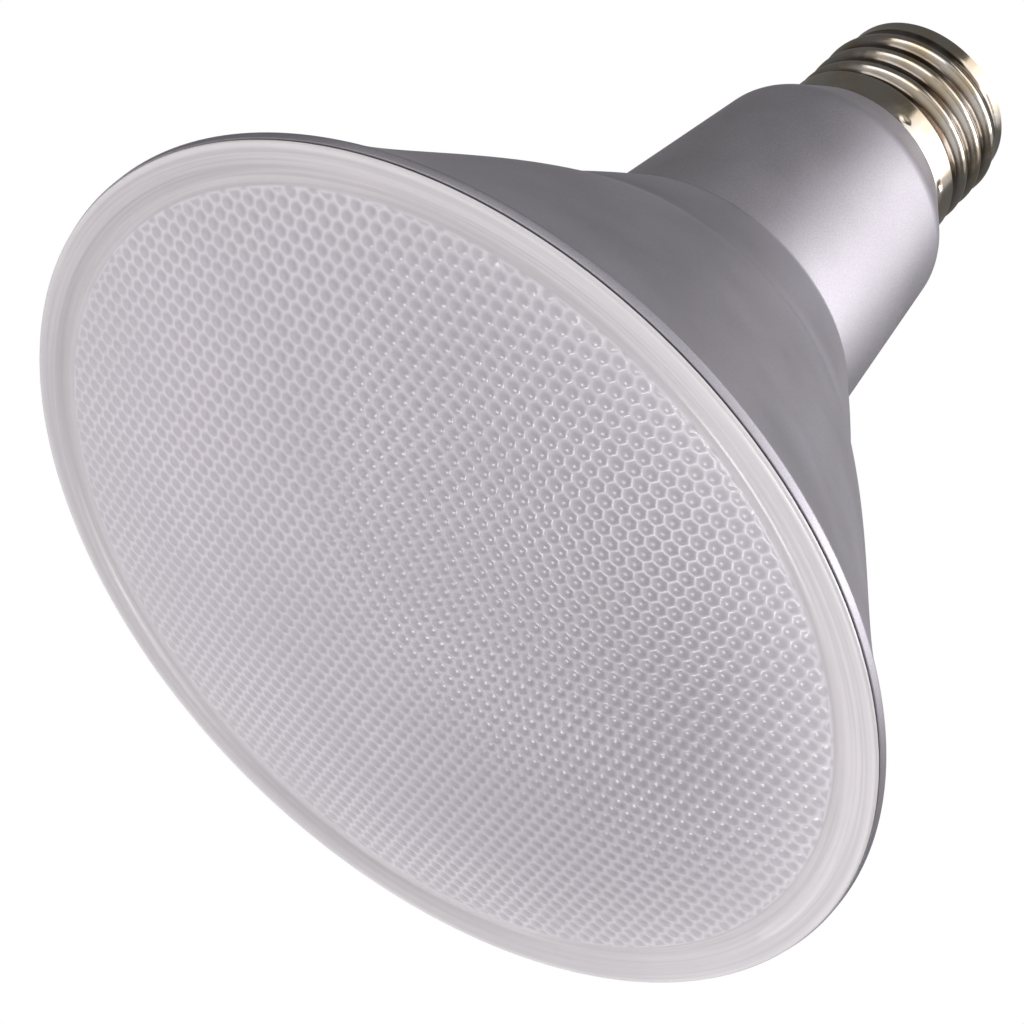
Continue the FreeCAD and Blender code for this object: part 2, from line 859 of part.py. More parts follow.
def rectifier():
    """Flat bridge rectifier on the back of the board."""
    width, height, depth = rectifier_size
    body = centred_block(width, height, depth, back_face() - height / 2, rectifier_level, left_column)
    upright = [edge for edge in body.Edges if abs(edge.BoundBox.YMax - body.BoundBox.YMin) < 1e-6]
    return body.makeChamfer(height / 6, upright)


def switching_chip():
    """Small control chip with bent legs down both sides."""
    width, height, depth = chip_size
    face = back_face() - chip_lift
    chip = centred_block(width, height, depth, face - height / 2, chip_level, left_column)
    spacing = depth / chip_legs
    for index in range(chip_legs):
        leg_z = chip_level + (index - (chip_legs - 1) / 2) * spacing
        for side in (-1, 1):
            leg_x = left_column + side * (width / 2 + chip_leg_width / 2)
            low = (leg_x - chip_leg_width / 2, face - height / 2, leg_z - chip_leg_width / 2)
            high = (leg_x + chip_leg_width / 2, back_face(), leg_z + chip_leg_width / 2)
            chip = chip.fuse(block(low, high))
    return one_solid(chip)


def output_diode():
    """Surface-mounted diode with a folded tab at each end."""
    width, height, depth = diode_size
    middle = back_face() - height / 2
    body = centred_block(width, height, depth, middle, diode_level, right_column)
    tab_length = depth + 2 * diode_tab
    tabs = centred_block(width / 2, height / 2, tab_length, back_face() - height / 4, diode_level, right_column)
    return one_solid(body.fuse(tabs))


def fusible_resistor():
    """Axial resistor on the lamp's centre line between the board and the contact."""
    low = board_top
    high = contact_seat - contact_stem_length
    middle = (low + high) / 2
    lead = resistor_lead_diameter / 2
    radius = resistor_diameter / 2
    start = middle - resistor_length / 2
    end = middle + resistor_length / 2
    round_over = radius / 3
    edges = [
        line((0, low), (lead, low)),
        line((lead, low), (lead, start)),
        line((lead, start), (radius - round_over, start)),
        corner((radius - round_over, start), (radius, start + round_over),
               (radius - round_over, start + round_over)),
        line((radius, start + round_over), (radius, end - round_over)),
        corner((radius, end - round_over), (radius - round_over, end),
               (radius - round_over, end - round_over)),
        line((radius - round_over, end), (lead, end)),
        line((lead, end), (lead, high)),
        line((lead, high), (0, high)),
        line((0, high), (0, low)),
    ]
    return turned(edges)


def neutral_lead():
    """Wire from the board over the end of the base spigot to the inside of the shell."""
    bend = neutral_bend
    x = neutral_offset
    level = collar_seat + skirt_length + spigot_height + neutral_wire_diameter
    centre = (x + bend, level - bend)
    end = math.sqrt(bore_radius ** 2 - (neutral_wire_diameter / 2) ** 2)
    path = Part.Wire([
        line((x, board_top), (x, level - bend)),
        corner((x, level - bend), (x + bend, level), centre),
        line((x + bend, level), (end, level)),
    ])
    disc = Part.Wire(Part.makeCircle(neutral_wire_diameter / 2, point(x, board_top), Vector(0, 0, 1)))
    return path.makePipeShell([disc], True, True)


PIECES = {
    "lens": lens,
    "lens_gasket": lens_gasket,
    "reflector_housing": reflector_housing,
    "driver_housing": driver_housing,
    "screw_shell": screw_shell,
    "base_insulator": base_insulator,
    "centre_contact": centre_contact,
    "inner_reflector": inner_reflector,
    "led_board": led_board,
    "led_packages": led_packages,
    "lead_connector": lead_connector,
    "led_leads": led_leads,
    "thermal_pad": thermal_pad,
    "board_screws": board_screws,
    "heat_spreader": heat_spreader,
    "driver_board": driver_board,
    "transformer_core": transformer_core,
    "transformer_bobbin": transformer_bobbin,
    "transformer_winding": transformer_winding,
    "film_capacitor": film_capacitor,
    "smoothing_capacitor": smoothing_capacitor,
    "choke_core": choke_core,
    "choke_winding": choke_winding,
    "varistor": varistor,
    "rectifier": rectifier,
    "switching_chip": switching_chip,
    "output_diode": output_diode,
    "fusible_resistor": fusible_resistor,
    "neutral_lead": neutral_lead,
}


def main():
    os.makedirs("parts", exist_ok=True)
    for name, make in PIECES.items():
        shape = make()
        shape.exportStep("parts/" + name + ".step")
        print(name, "solids", len(shape.Solids), "volume", round(shape.Volume, 1), "valid", shape.isValid())


main()
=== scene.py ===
"""Dressed model of a reflector spotlight lamp: lens texture, rolled thread, finishes and studio.

Lengths in the classes are millimetres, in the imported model's own frame: the lamp stands on its
lens, +Z runs to the base. They become metres where a mesh is made.
"""

import json
import logging
import math
from dataclasses import dataclass
from enum import Enum
from typing import Callable, Optional, Sequence

import bmesh
import bpy
from mathutils import Matrix, Vector


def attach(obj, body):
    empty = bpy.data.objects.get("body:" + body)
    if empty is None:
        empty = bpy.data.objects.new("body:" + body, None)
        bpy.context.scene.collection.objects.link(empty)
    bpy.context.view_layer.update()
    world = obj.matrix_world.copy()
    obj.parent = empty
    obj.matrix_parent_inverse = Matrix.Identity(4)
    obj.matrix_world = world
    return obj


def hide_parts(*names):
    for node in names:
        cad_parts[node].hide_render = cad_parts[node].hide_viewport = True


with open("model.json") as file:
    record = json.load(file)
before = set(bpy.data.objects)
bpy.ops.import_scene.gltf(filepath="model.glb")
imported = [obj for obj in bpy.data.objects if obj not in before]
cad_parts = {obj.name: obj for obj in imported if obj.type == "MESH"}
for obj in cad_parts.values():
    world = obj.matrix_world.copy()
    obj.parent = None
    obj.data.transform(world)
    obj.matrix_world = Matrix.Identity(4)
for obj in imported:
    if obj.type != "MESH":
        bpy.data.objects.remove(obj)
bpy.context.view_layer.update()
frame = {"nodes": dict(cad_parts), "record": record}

LOG = logging.getLogger("spotlight_lamp")
MM = 0.001
BODY = "root"
MERGE_DISTANCE = 1e-7
REPEAT_GAP = 1e-6
SHARP_ANGLE = math.radians(32)

Point = tuple[float, float]
Colour = tuple[float, float, float]


class Slot(Enum):
    """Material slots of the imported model's record."""

    LENS = "lens"
    GASKET = "gasket"
    HOUSING = "housing"
    NECK = "neck"
    SHELL = "shell"
    INSULATOR = "insulator"
    CONTACT = "contact"
    WHITE_PLASTIC = "white_plastic"
    LED_BOARD = "led_board"
    PHOSPHOR = "phosphor"
    PAD = "pad"
    SPREADER = "spreader"
    STEEL = "steel"
    WIRE = "wire"
    CIRCUIT_BOARD = "circuit_board"
    FERRITE = "ferrite"
    BOBBIN = "bobbin"
    WINDING = "winding"
    COPPER = "copper"
    FILM_CASE = "film_case"
    CAN = "can"
    CERAMIC = "ceramic"
    RESISTOR = "resistor"
    CHIP = "chip"
    TINNED = "tinned"


# Sections drawn as radius and height

def arc_points(start: Point, middle: Point, end: Point, count: int) -> list[Point]:
    """Points along the arc through three points.

    Args:
        start: First point, as radius and height.
        middle: A point on the arc.
        end: Last point.
        count: How many stretches the arc is divided into.

    Returns:
        The points from start to end, both included.
    """
    ax, ay = start
    bx, by = middle
    cx, cy = end
    double_area = 2 * (ax * (by - cy) + bx * (cy - ay) + cx * (ay - by))
    a2, b2, c2 = ax * ax + ay * ay, bx * bx + by * by, cx * cx + cy * cy
    centre_x = (a2 * (by - cy) + b2 * (cy - ay) + c2 * (ay - by)) / double_area
    centre_y = (a2 * (cx - bx) + b2 * (ax - cx) + c2 * (bx - ax)) / double_area
    radius = math.hypot(ax - centre_x, ay - centre_y)
    first = math.atan2(ay - centre_y, ax - centre_x)
    through = (math.atan2(by - centre_y, bx - centre_x) - first) % (2 * math.pi)
    turn = (math.atan2(cy - centre_y, cx - centre_x) - first) % (2 * math.pi)
    if through > turn:
        turn -= 2 * math.pi
    return [
        (centre_x + radius * math.cos(first + turn * step / count),
         centre_y + radius * math.sin(first + turn * step / count))
        for step in range(count + 1)
    ]


def corner_points(start: Point, end: Point, centre: Point, count: int = 4) -> list[Point]:
    """Quarter round between two points about a centre.

    Args:
        start: First point.
        end: Last point.
        centre: The round's centre.
        count: How many stretches the round is divided into.

    Returns:
        The points from start to end, both included.
    """
    radius = math.hypot(start[0] - centre[0], start[1] - centre[1])
    half_x = (start[0] + end[0]) / 2 - centre[0]
    half_y = (start[1] + end[1]) / 2 - centre[1]
    reach = radius / math.hypot(half_x, half_y)
    return arc_points(start, (centre[0] + half_x * reach, centre[1] + half_y * reach), end, count)


def sweep_points(start: Point, start_slope: float, end: Point, end_slope: float,
                 count: int) -> list[Point]:
    """Points on a cubic curve with a stated change of radius per height at each end.

    Args:
        start: First point.
        start_slope: Change of radius per height at the start.
        end: Last point.
        end_slope: Change of radius per height at the end.
        count: How many stretches the curve is divided into.

    Returns:
        The points from start to end, both included.
    """
    third = (end[1] - start[1]) / 3
    poles = (
        start,
        (start[0] + start_slope * third, start[1] + third),
        (end[0] - end_slope * third, end[1] - third),
        end,
    )
    points = []
    for step in range(count + 1):
        t = step / count
        weights = ((1 - t) ** 3, 3 * t * (1 - t) ** 2, 3 * t * t * (1 - t), t ** 3)
        points.append((
            sum(w * p[0] for w, p in zip(weights, poles)),
            sum(w * p[1] for w, p in zip(weights, poles)),
        ))
    return points


def line_points(start: Point, end: Point, count: int) -> list[Point]:
    """Points along a straight stretch, divided evenly."""
    return [
        (start[0] + (end[0] - start[0]) * step / count, start[1] + (end[1] - start[1]) * step / count)
        for step in range(count + 1)
    ]


def without_repeats(points: Sequence[Point]) -> list[Point]:
    """Leaves out each point that repeats its neighbour.

    Args:
        points: The points of a section.

    Returns:
        The points that are kept.
    """
    kept: list[Point] = []
    for point in points:
        if not kept or math.hypot(point[0] - kept[-1][0], point[1] - kept[-1][1]) > REPEAT_GAP:
            kept.append(point)
    return kept


def eased(share: float) -> float:
    """The share from 0 to 1, with a soft start and a soft end."""
    return share * share * (3 - 2 * share)


# Mesh helpers

def turned(points: Sequence[Point], steps: int) -> bmesh.types.BMesh:
    """Turns a section once round the axis into a closed solid.

    Args:
        points: The section. It is closed by its last edge unless both ends lie on the axis.
        steps: How many stretches there are in one turn.

    Returns:
        The mesh, in metres.
    """
    bm = bmesh.new()
    outline = without_repeats(points)
    verts = [bm.verts.new((radius * MM, 0.0, height * MM)) for radius, height in outline]
    edges = [bm.edges.new(pair) for pair in zip(verts, verts[1:])]
    if max(outline[0][0], outline[-1][0]) > REPEAT_GAP:
        edges.append(bm.edges.new((verts[-1], verts[0])))
    bmesh.ops.spin(bm, geom=verts + edges, cent=(0, 0, 0), axis=(0, 0, 1), dvec=(0, 0, 0),
                   angle=2 * math.pi, steps=steps, use_merge=True)
    bmesh.ops.remove_doubles(bm, verts=bm.verts, dist=MERGE_DISTANCE)
    return bm


def close_up(bm: bmesh.types.BMesh, sharp_angle: float = SHARP_ANGLE) -> None:
    """Points the faces outwards, shades them smooth and keeps the hard edges hard.

    Args:
        bm: The mesh to finish.
        sharp_angle: Edges that turn by more than this stay hard.
    """
    bmesh.ops.recalc_face_normals(bm, faces=bm.faces)
    for face in bm.faces:
        face.smooth = True
    for edge in bm.edges:
        edge.smooth = edge.calc_face_angle(0.0) < sharp_angle


def extruded(bm: bmesh.types.BMesh, ring: list[bmesh.types.BMEdge]
             ) -> tuple[list[bmesh.types.BMVert], list[bmesh.types.BMEdge]]:
    """Carries an open ring of edges on by one row of faces.

    Args:
        bm: The mesh.
        ring: The open edges.

    Returns:
        The new corners, still where the old ones are, and the edges that are open now.
    """
    made = bmesh.ops.extrude_edge_only(bm, edges=ring)["geom"]
    verts = [item for item in made if isinstance(item, bmesh.types.BMVert)]
    edges = [item for item in made if isinstance(item, bmesh.types.BMEdge) and item.is_boundary]
    return verts, edges


def placed(name: str, data: bpy.types.ID) -> bpy.types.Object:
    """Makes an object and links it to the scene.

    Args:
        name: The object's name.
        data: Its mesh, lamp or camera.

    Returns:
        The object.
    """
    item = bpy.data.objects.new(name, data)
    bpy.context.scene.collection.objects.link(item)
    return item


def mesh_object(bm: bmesh.types.BMesh, name: str, material: bpy.types.Material) -> bpy.types.Object:
    """Makes an object of a mesh, with one material.

    Args:
        bm: The mesh, in metres. It is freed here.
        name: The object's name.
        material: Its finish.

    Returns:
        The object.
    """
    mesh = bpy.data.meshes.new(name)
    bm.to_mesh(mesh)
    bm.free()
    mesh.materials.append(material)
    return placed(name, mesh)


# Node tools

class NodeSheet:
    """A short way to write a node tree."""

    def __init__(self, tree: bpy.types.NodeTree) -> None:
        """Keeps the tree that the nodes go in."""
        self.tree = tree

    def add(self, kind: str, inputs: Optional[dict] = None, **settings: object) -> bpy.types.Node:
        """Adds a node.

        Args:
            kind: The node's type name.
            inputs: Socket names or numbers, each with a value or the output that feeds it.
            settings: The node's own properties.

        Returns:
            The node.
        """
        node = self.tree.nodes.new(kind)
        for key, value in settings.items():
            setattr(node, key, value)
        for key, value in (inputs or {}).items():
            if isinstance(value, bpy.types.NodeSocket):
                self.tree.links.new(value, node.inputs[key])
            else:
                node.inputs[key].default_value = value
        return node

    def math(self, operation: str, first: object, second: object = 0.0,
             third: object = 0.0) -> bpy.types.NodeSocket:
        """Output of one Math node on numbers or sockets."""
        node = self.add("ShaderNodeMath", {0: first, 1: second, 2: third}, operation=operation)
        return node.outputs[0]

    def ramp(self, value: bpy.types.NodeSocket, low: object, high: object,
             out_low: float = 0.0, out_high: float = 1.0) -> bpy.types.NodeSocket:
        """Smooth step of a value from one range to another."""
        node = self.add("ShaderNodeMapRange", {"Value": value, "From Min": low, "From Max": high,
                                               "To Min": out_low, "To Max": out_high},
                        interpolation_type="SMOOTHSTEP")
        return node.outputs["Result"]

    def mix(self, share: object, first: object, second: object) -> bpy.types.NodeSocket:
        """Mix of two colours."""
        node = self.add("ShaderNodeMix", {"Factor": share, "A": first, "B": second}, data_type="RGBA")
        return node.outputs["Result"]

    def noise(self, place: bpy.types.NodeSocket, scale: object, detail: float, roughness: float = 0.5,
              distortion: float = 0.0) -> bpy.types.NodeSocket:
        """Noise from 0 to 1 at a place."""
        node = self.add("ShaderNodeTexNoise", {"Vector": place, "Scale": scale, "Detail": detail,
                                               "Roughness": roughness, "Distortion": distortion})
        return node.outputs["Fac"]

    def group(self, tree: bpy.types.NodeTree, inputs: Optional[dict] = None) -> bpy.types.Node:
        """A shared node group with its inputs."""
        return self.add("ShaderNodeGroup", inputs, node_tree=tree)

    def attribute(self, name: str) -> bpy.types.NodeSocket:
        """A number kept at the mesh's corners."""
        return self.add("ShaderNodeAttribute", attribute_name=name).outputs["Fac"]

    def link(self, source: bpy.types.NodeSocket, node: bpy.types.Node, name: str) -> None:
        """Feeds one input of a node."""
        self.tree.links.new(source, node.inputs[name])

    def surface(self, shader: bpy.types.Node, tint: bpy.types.NodeSocket, rough: bpy.types.NodeSocket,
                height: bpy.types.NodeSocket, depth: float, strength: float) -> None:
        """Feeds a shader its colour, its roughness and its bump.

        Args:
            shader: The Principled shader.
            tint: Colour.
            rough: Roughness.
            height: Height of the bump, from 0 to 1.
            depth: How high that is, in millimetres.
            strength: How strongly the bump shows.
        """
        bump = self.add("ShaderNodeBump", {"Height": height, "Distance": depth * MM, "Strength": strength})
        self.link(tint, shader, "Base Color")
        self.link(rough, shader, "Roughness")
        self.link(bump.outputs["Normal"], shader, "Normal")


def colour(rgb: Sequence[float], level: float = 1.0) -> tuple[float, ...]:
    """The colour at a level of brightness up to white, with a full alpha."""
    return (*(min(1.0, value * level) for value in rgb), 1.0)


def shader_group(name: str, inputs: dict[str, float], outputs: Sequence[str],
                 fill: Callable[[NodeSheet, bpy.types.Node, bpy.types.Node], None]
                 ) -> bpy.types.NodeTree:
    """Builds a shader node group of number sockets.

    Args:
        name: The group's name.
        inputs: Names of the inputs with their defaults.
        outputs: Names of the outputs.
        fill: Adds the nodes between the group's input and output.

    Returns:
        The group.
    """
    tree = bpy.data.node_groups.new(name, "ShaderNodeTree")
    for label, value in inputs.items():
        socket = tree.interface.new_socket(label, in_out="INPUT", socket_type="NodeSocketFloat")
        socket.default_value = value
    for label in outputs:
        tree.interface.new_socket(label, in_out="OUTPUT", socket_type="NodeSocketFloat")
    sheet = NodeSheet(tree)
    fill(sheet, sheet.add("NodeGroupInput"), sheet.add("NodeGroupOutput"))
    return tree


def object_point(sheet: NodeSheet) -> bpy.types.NodeSocket:
    """The shading point in the object's own coordinates."""
    return sheet.add("ShaderNodeTexCoord").outputs["Object"]


class Effects:
    """Node groups that more than one finish uses, each built once."""

    SMUDGE_EDGE = 0.18
    NEAREST_RADIUS = 1e-5

    def __init__(self) -> None:
        """Builds the groups."""
        self.grain = shader_group("fine_grain", {"Size": 0.2, "Patch Size": 6.0}, ("Grain", "Patches"),
                                  self.fill_grain)
        self.handling = shader_group("handling_marks", {"Size": 18.0, "Threshold": 0.55}, ("Marks",),
                                     self.fill_handling)
        self.rings = shader_group("rim_streaks", {"Width": 0.5, "Length": 1.4}, ("Streaks", "Radius"),
                                  self.fill_rings)

    @staticmethod
    def fill_grain(sheet: NodeSheet, source: bpy.types.Node, sink: bpy.types.Node) -> None:
        """Fine noise and broad soft patches, with sizes in millimetres.

        Args:
            sheet: The group's nodes.
            source: The group's input.
            sink: The group's output.
        """
        place = object_point(sheet)
        fine_scale = sheet.math("DIVIDE", 1 / MM, source.outputs["Size"])
        patch_scale = sheet.math("DIVIDE", 1 / MM, source.outputs["Patch Size"])
        sheet.link(sheet.noise(place, fine_scale, detail=2.0, roughness=0.6), sink, "Grain")
        sheet.link(sheet.noise(place, patch_scale, detail=3.0), sink, "Patches")

    @staticmethod
    def fill_handling(sheet: NodeSheet, source: bpy.types.Node, sink: bpy.types.Node) -> None:
        """Sparse soft smudges left by handling.

        Args:
            sheet: The group's nodes.
            source: The group's input.
            sink: The group's output.
        """
        scale = sheet.math("DIVIDE", 1 / MM, source.outputs["Size"])
        cloud = sheet.noise(object_point(sheet), scale, detail=4.0, roughness=0.62, distortion=0.8)
        low = source.outputs["Threshold"]
        high = sheet.math("ADD", low, Effects.SMUDGE_EDGE)
        sheet.link(sheet.ramp(cloud, low, high), sink, "Marks")

    @staticmethod
    def fill_rings(sheet: NodeSheet, source: bpy.types.Node, sink: bpy.types.Node) -> None:
        """Streaks that run round the axis, and the distance from it in millimetres.

        Args:
            sheet: The group's nodes.
            source: The group's input.
            sink: The group's output.
        """
        place = sheet.add("ShaderNodeSeparateXYZ", {"Vector": object_point(sheet)})
        squares = [sheet.math("POWER", place.outputs[axis], 2.0) for axis in ("X", "Y")]
        radius = sheet.math("SQRT", sheet.math("ADD", *squares))
        off_axis = sheet.math("MAXIMUM", radius, Effects.NEAREST_RADIUS)
        stretch = sheet.math("DIVIDE", source.outputs["Length"], off_axis)
        turn_x, turn_y = (sheet.math("MULTIPLY", place.outputs[axis], stretch) for axis in ("X", "Y"))
        millimetres = sheet.math("DIVIDE", radius, MM)
        rows = sheet.math("DIVIDE", millimetres, source.outputs["Width"])
        spot = sheet.add("ShaderNodeCombineXYZ", {"X": turn_x, "Y": turn_y, "Z": rows})
        sheet.link(sheet.noise(spot.outputs[0], scale=1.0, detail=2.0), sink, "Streaks")
        sheet.link(millimetres, sink, "Radius")


# Finishes

def new_material(name: str) -> tuple[bpy.types.Material, NodeSheet, bpy.types.Node]:
    """Starts a material with one Principled shader.

    Args:
        name: The material's name.

    Returns:
        The material, its sheet of nodes and its shader.
    """
    material = bpy.data.materials.new(name)
    material.use_nodes = True
    return material, NodeSheet(material.node_tree), material.node_tree.nodes["Principled BSDF"]


@dataclass(frozen=True)
class Plastic:
    """Moulded plastic, ceramic or lacquer with a little grain and unevenness."""

    name: str
    rgb: Colour
    roughness: float = 0.42
    smoother: float = 0.05
    rougher: float = 0.07
    grain: float = 0.25
    depth: float = 0.015
    shade: float = 0.88
    metallic: float = 0.0
    bump: float = 0.6

    def make(self, effects: Effects) -> bpy.types.Material:
        """Builds the material.

        Args:
            effects: The shared node groups.

        Returns:
            The material.
        """
        material, sheet, shader = new_material(self.name)
        grain = sheet.group(effects.grain, {"Size": self.grain})
        patches = grain.outputs["Patches"]
        tint = sheet.mix(patches, colour(self.rgb, self.shade), colour(self.rgb))
        rough = sheet.ramp(patches, low=0.2, high=0.8, out_low=self.roughness - self.smoother,
                           out_high=self.roughness + self.rougher)
        sheet.surface(shader, tint, rough, grain.outputs["Grain"], self.depth, self.bump)
        shader.inputs["Metallic"].default_value = self.metallic
        return material


@dataclass(frozen=True)
class SilverPaint:
    """Satin paint full of fine metal flakes."""

    name: str
    rgb: Colour
    roughness: float
    smoother: float = 0.03
    rougher: float = 0.04
    metallic: float = 0.95
    flake_size: float = 0.16
    flake_contrast: float = 0.10
    flake_depth: float = 0.012
    patch_size: float = 14.0
    mark_size: float = 16.0
    mark_strength: float = 0.06
    mark_shade: float = 0.7
    bump: float = 0.5

    def make(self, effects: Effects) -> bpy.types.Material:
        """Builds the material.

        Args:
            effects: The shared node groups.

        Returns:
            The material.
        """
        material, sheet, shader = new_material(self.name)
        grain = sheet.group(effects.grain, {"Size": self.flake_size, "Patch Size": self.patch_size})
        marks = sheet.group(effects.handling, {"Size": self.mark_size})
        flakes = sheet.ramp(grain.outputs["Grain"], low=0.3, high=0.7)
        base = sheet.mix(flakes, colour(self.rgb, 1 - self.flake_contrast),
                         colour(self.rgb, 1 + self.flake_contrast))
        worn = sheet.math("MULTIPLY", marks.outputs["Marks"], self.mark_strength)
        tint = sheet.mix(worn, base, colour(self.rgb, self.mark_shade))
        rough = sheet.ramp(grain.outputs["Patches"], low=0.25, high=0.75,
                           out_low=self.roughness - self.smoother,
                           out_high=self.roughness + self.rougher)
        sheet.surface(shader, tint, rough, grain.outputs["Grain"], self.flake_depth, self.bump)
        shader.inputs["Metallic"].default_value = self.metallic
        return material


@dataclass(frozen=True)
class PlatedSheet:
    """Rolled sheet with a thin bright plating that lets some warmth through, with painted shade in the
    thread's valleys and inside the shell.
    """

    name: str
    rgb: Colour
    warm_rgb: Colour
    roughness: float = 0.2
    valley_shade_rgb: Colour = (0.050, 0.030, 0.017)
    least_valley_shade: float = 0.65
    grain: float = 0.5
    grain_depth: float = 0.006
    patch_size: float = 4.0
    mark_size: float = 7.0
    mark_threshold: float = 0.5
    mark_roughness: float = 0.12
    bump: float = 0.4

    def make(self, effects: Effects) -> bpy.types.Material:
        """Builds the material.

        Args:
            effects: The shared node groups.

        Returns:
            The material.
        """
        material, sheet, shader = new_material(self.name)
        grain = sheet.group(effects.grain, {"Size": self.grain, "Patch Size": self.patch_size})
        marks = sheet.group(effects.handling, {"Size": self.mark_size, "Threshold": self.mark_threshold})
        patches = grain.outputs["Patches"]
        worn = sheet.ramp(patches, low=0.35, high=0.7)
        plate_tint = sheet.mix(worn, colour(self.rgb), colour(self.warm_rgb))
        # Painted shade: the thread's valleys and the shell's inside turn near black, a little less in some
        # patches.
        valley_shade_strength = sheet.ramp(patches, low=0.2, high=0.7, out_low=self.least_valley_shade)
        valley_shade = sheet.math("MULTIPLY", sheet.attribute("valley"), valley_shade_strength)
        tint = sheet.mix(valley_shade, plate_tint, colour(self.valley_shade_rgb))
        rough = sheet.math("MULTIPLY_ADD", marks.outputs["Marks"], self.mark_roughness, self.roughness)
        sheet.surface(shader, tint, rough, grain.outputs["Grain"], self.grain_depth, self.bump)
        shader.inputs["Metallic"].default_value = 1.0
        return material


@dataclass(frozen=True)
class LensPlastic:
    """Milky lens plastic with painted highlights on the seams between its small lenses and on the rim's
    outer edge, streaked round the rim.
    """

    name: str
    rgb: Colour
    seam_highlight_rgb: Colour
    rim_rgb: Colour
    rim_dark_rgb: Colour
    edge_highlight_rgb: Colour
    edge_highlight_line: float = 59.3
    edge_highlight_blend: float = 0.5
    roughness: float = 0.2
    smoother: float = 0.03
    rougher: float = 0.05
    patch_size: float = 22.0
    patch_shade: float = 0.94
    patch_strength: float = 0.35
    seam_highlight_start: float = 0.42
    streak_depth: float = 0.05
    bump: float = 0.6
    refraction: float = 1.49

    def make(self, effects: Effects) -> bpy.types.Material:
        """Builds the material.

        Args:
            effects: The shared node groups.

        Returns:
            The material.
        """
        material, sheet, shader = new_material(self.name)
        patches = sheet.group(effects.grain, {"Patch Size": self.patch_size}).outputs["Patches"]
        rings = sheet.group(effects.rings)
        streaks = rings.outputs["Streaks"]
        rim = sheet.attribute("rim_band")
        # Painted highlight and shade: seams between the small lenses paler, their middles darker.
        seam_highlight = sheet.ramp(sheet.attribute("cell_seam"), low=self.seam_highlight_start, high=1.0)
        cell = sheet.mix(seam_highlight, colour(self.rgb), colour(self.seam_highlight_rgb))
        streaked = sheet.ramp(streaks, low=0.35, high=0.65)
        rim_tint = sheet.mix(streaked, colour(self.rim_rgb), colour(self.rim_dark_rgb))
        # Painted highlight: a pale line just inside the lens's rounded outer edge.
        edge = sheet.ramp(rings.outputs["Radius"], self.edge_highlight_line - self.edge_highlight_blend, self.edge_highlight_line)
        lit_rim = sheet.mix(edge, rim_tint, colour(self.edge_highlight_rgb))
        band = sheet.mix(rim, cell, lit_rim)
        uneven = sheet.ramp(patches, low=0.3, high=0.7, out_high=self.patch_strength)
        tint = sheet.mix(uneven, band, colour(self.rgb, self.patch_shade))
        rough = sheet.ramp(patches, low=0.2, high=0.8, out_low=self.roughness - self.smoother,
                           out_high=self.roughness + self.rougher)
        height = sheet.math("MULTIPLY", streaks, rim)
        sheet.surface(shader, tint, rough, height, self.streak_depth, self.bump)
        shader.inputs["IOR"].default_value = self.refraction
        return material


# Levels along the axis and radii that more than one piece shares

def sunk(centre: float, sphere: float, radius: float) -> float:
    """Height of a sphere's near side, at one radius from the axis."""
    return centre - math.sqrt(sphere ** 2 - radius ** 2)


@dataclass(frozen=True)
class Levels:
    """Heights and radii of the lamp's outside, worked out from its sizes."""

    lens_radius: float = 59.7
    dome_radius: float = 215.0
    lens_wall: float = 2.2
    rim_band: float = 5.7
    flange_thickness: float = 0.5
    gasket_thickness: float = 0.2
    lip_height: float = 1.5
    lip_overhang: float = 0.15
    flare_length: float = 39.3
    band_length: float = 15.5
    neck_length: float = 31.3
    shoulder_length: float = 6.7
    flange_width: float = 1.8
    skirt_radius: float = 13.2
    skirt_length: float = 4.2
    skirt_taper: float = 1.2
    thread_turns: float = 3.1
    thread_pitch: float = 3.629
    root_radius: float = 12.35
    crest_radius: float = 13.1
    sheet: float = 0.3
    shell_round: float = 2.2
    mouth_radius: float = 10.2
    insulator_height: float = 4.6

    @property
    def field_radius(self) -> float:
        """Radius of the textured dome."""
        return self.lens_radius - self.rim_band

    @property
    def rim_plane(self) -> float:
        """Height of the flat rim band."""
        return sunk(self.dome_radius, self.dome_radius, self.field_radius)

    @property
    def back_plane(self) -> float:
        """Height of the lens's back edge."""
        return sunk(self.dome_radius, self.dome_radius - self.lens_wall, self.field_radius)

    @property
    def flange_back(self) -> float:
        """Back of the lens flange."""
        return self.rim_plane + self.flange_thickness

    @property
    def lip_front(self) -> float:
        """Front of the housing's lip."""
        return self.flange_back + self.gasket_thickness

    @property
    def lip_rear(self) -> float:
        """Rear of the housing's lip."""
        return self.lip_front + self.lip_height

    @property
    def flare_end(self) -> float:
        """Crease between the flare and the band."""
        return self.lip_rear + self.flare_length

    @property
    def bell_rear(self) -> float:
        """Joint between the housing and the neck."""
        return self.flare_end + self.band_length

    @property
    def shoulder_start(self) -> float:
        """Start of the neck's shoulder."""
        return self.bell_rear + self.neck_length

    @property
    def collar_seat(self) -> float:
        """End of the shoulder, where the screw shell sits."""
        return self.shoulder_start + self.shoulder_length

    @property
    def thread_start(self) -> float:
        """Middle of the ridge where the thread starts."""
        return self.collar_seat + self.skirt_length + self.skirt_taper

    @property
    def thread_end(self) -> float:
        """Middle of the ridge where the thread ends."""
        return self.thread_start + self.thread_turns * self.thread_pitch

    @property
    def shell_end(self) -> float:
        """Tip end of the screw shell."""
        return self.thread_end + self.shell_round

    @property
    def contact_seat(self) -> float:
        """Face of the insulator that carries the contact."""
        return self.shell_end + self.insulator_height


# Sub-assemblies

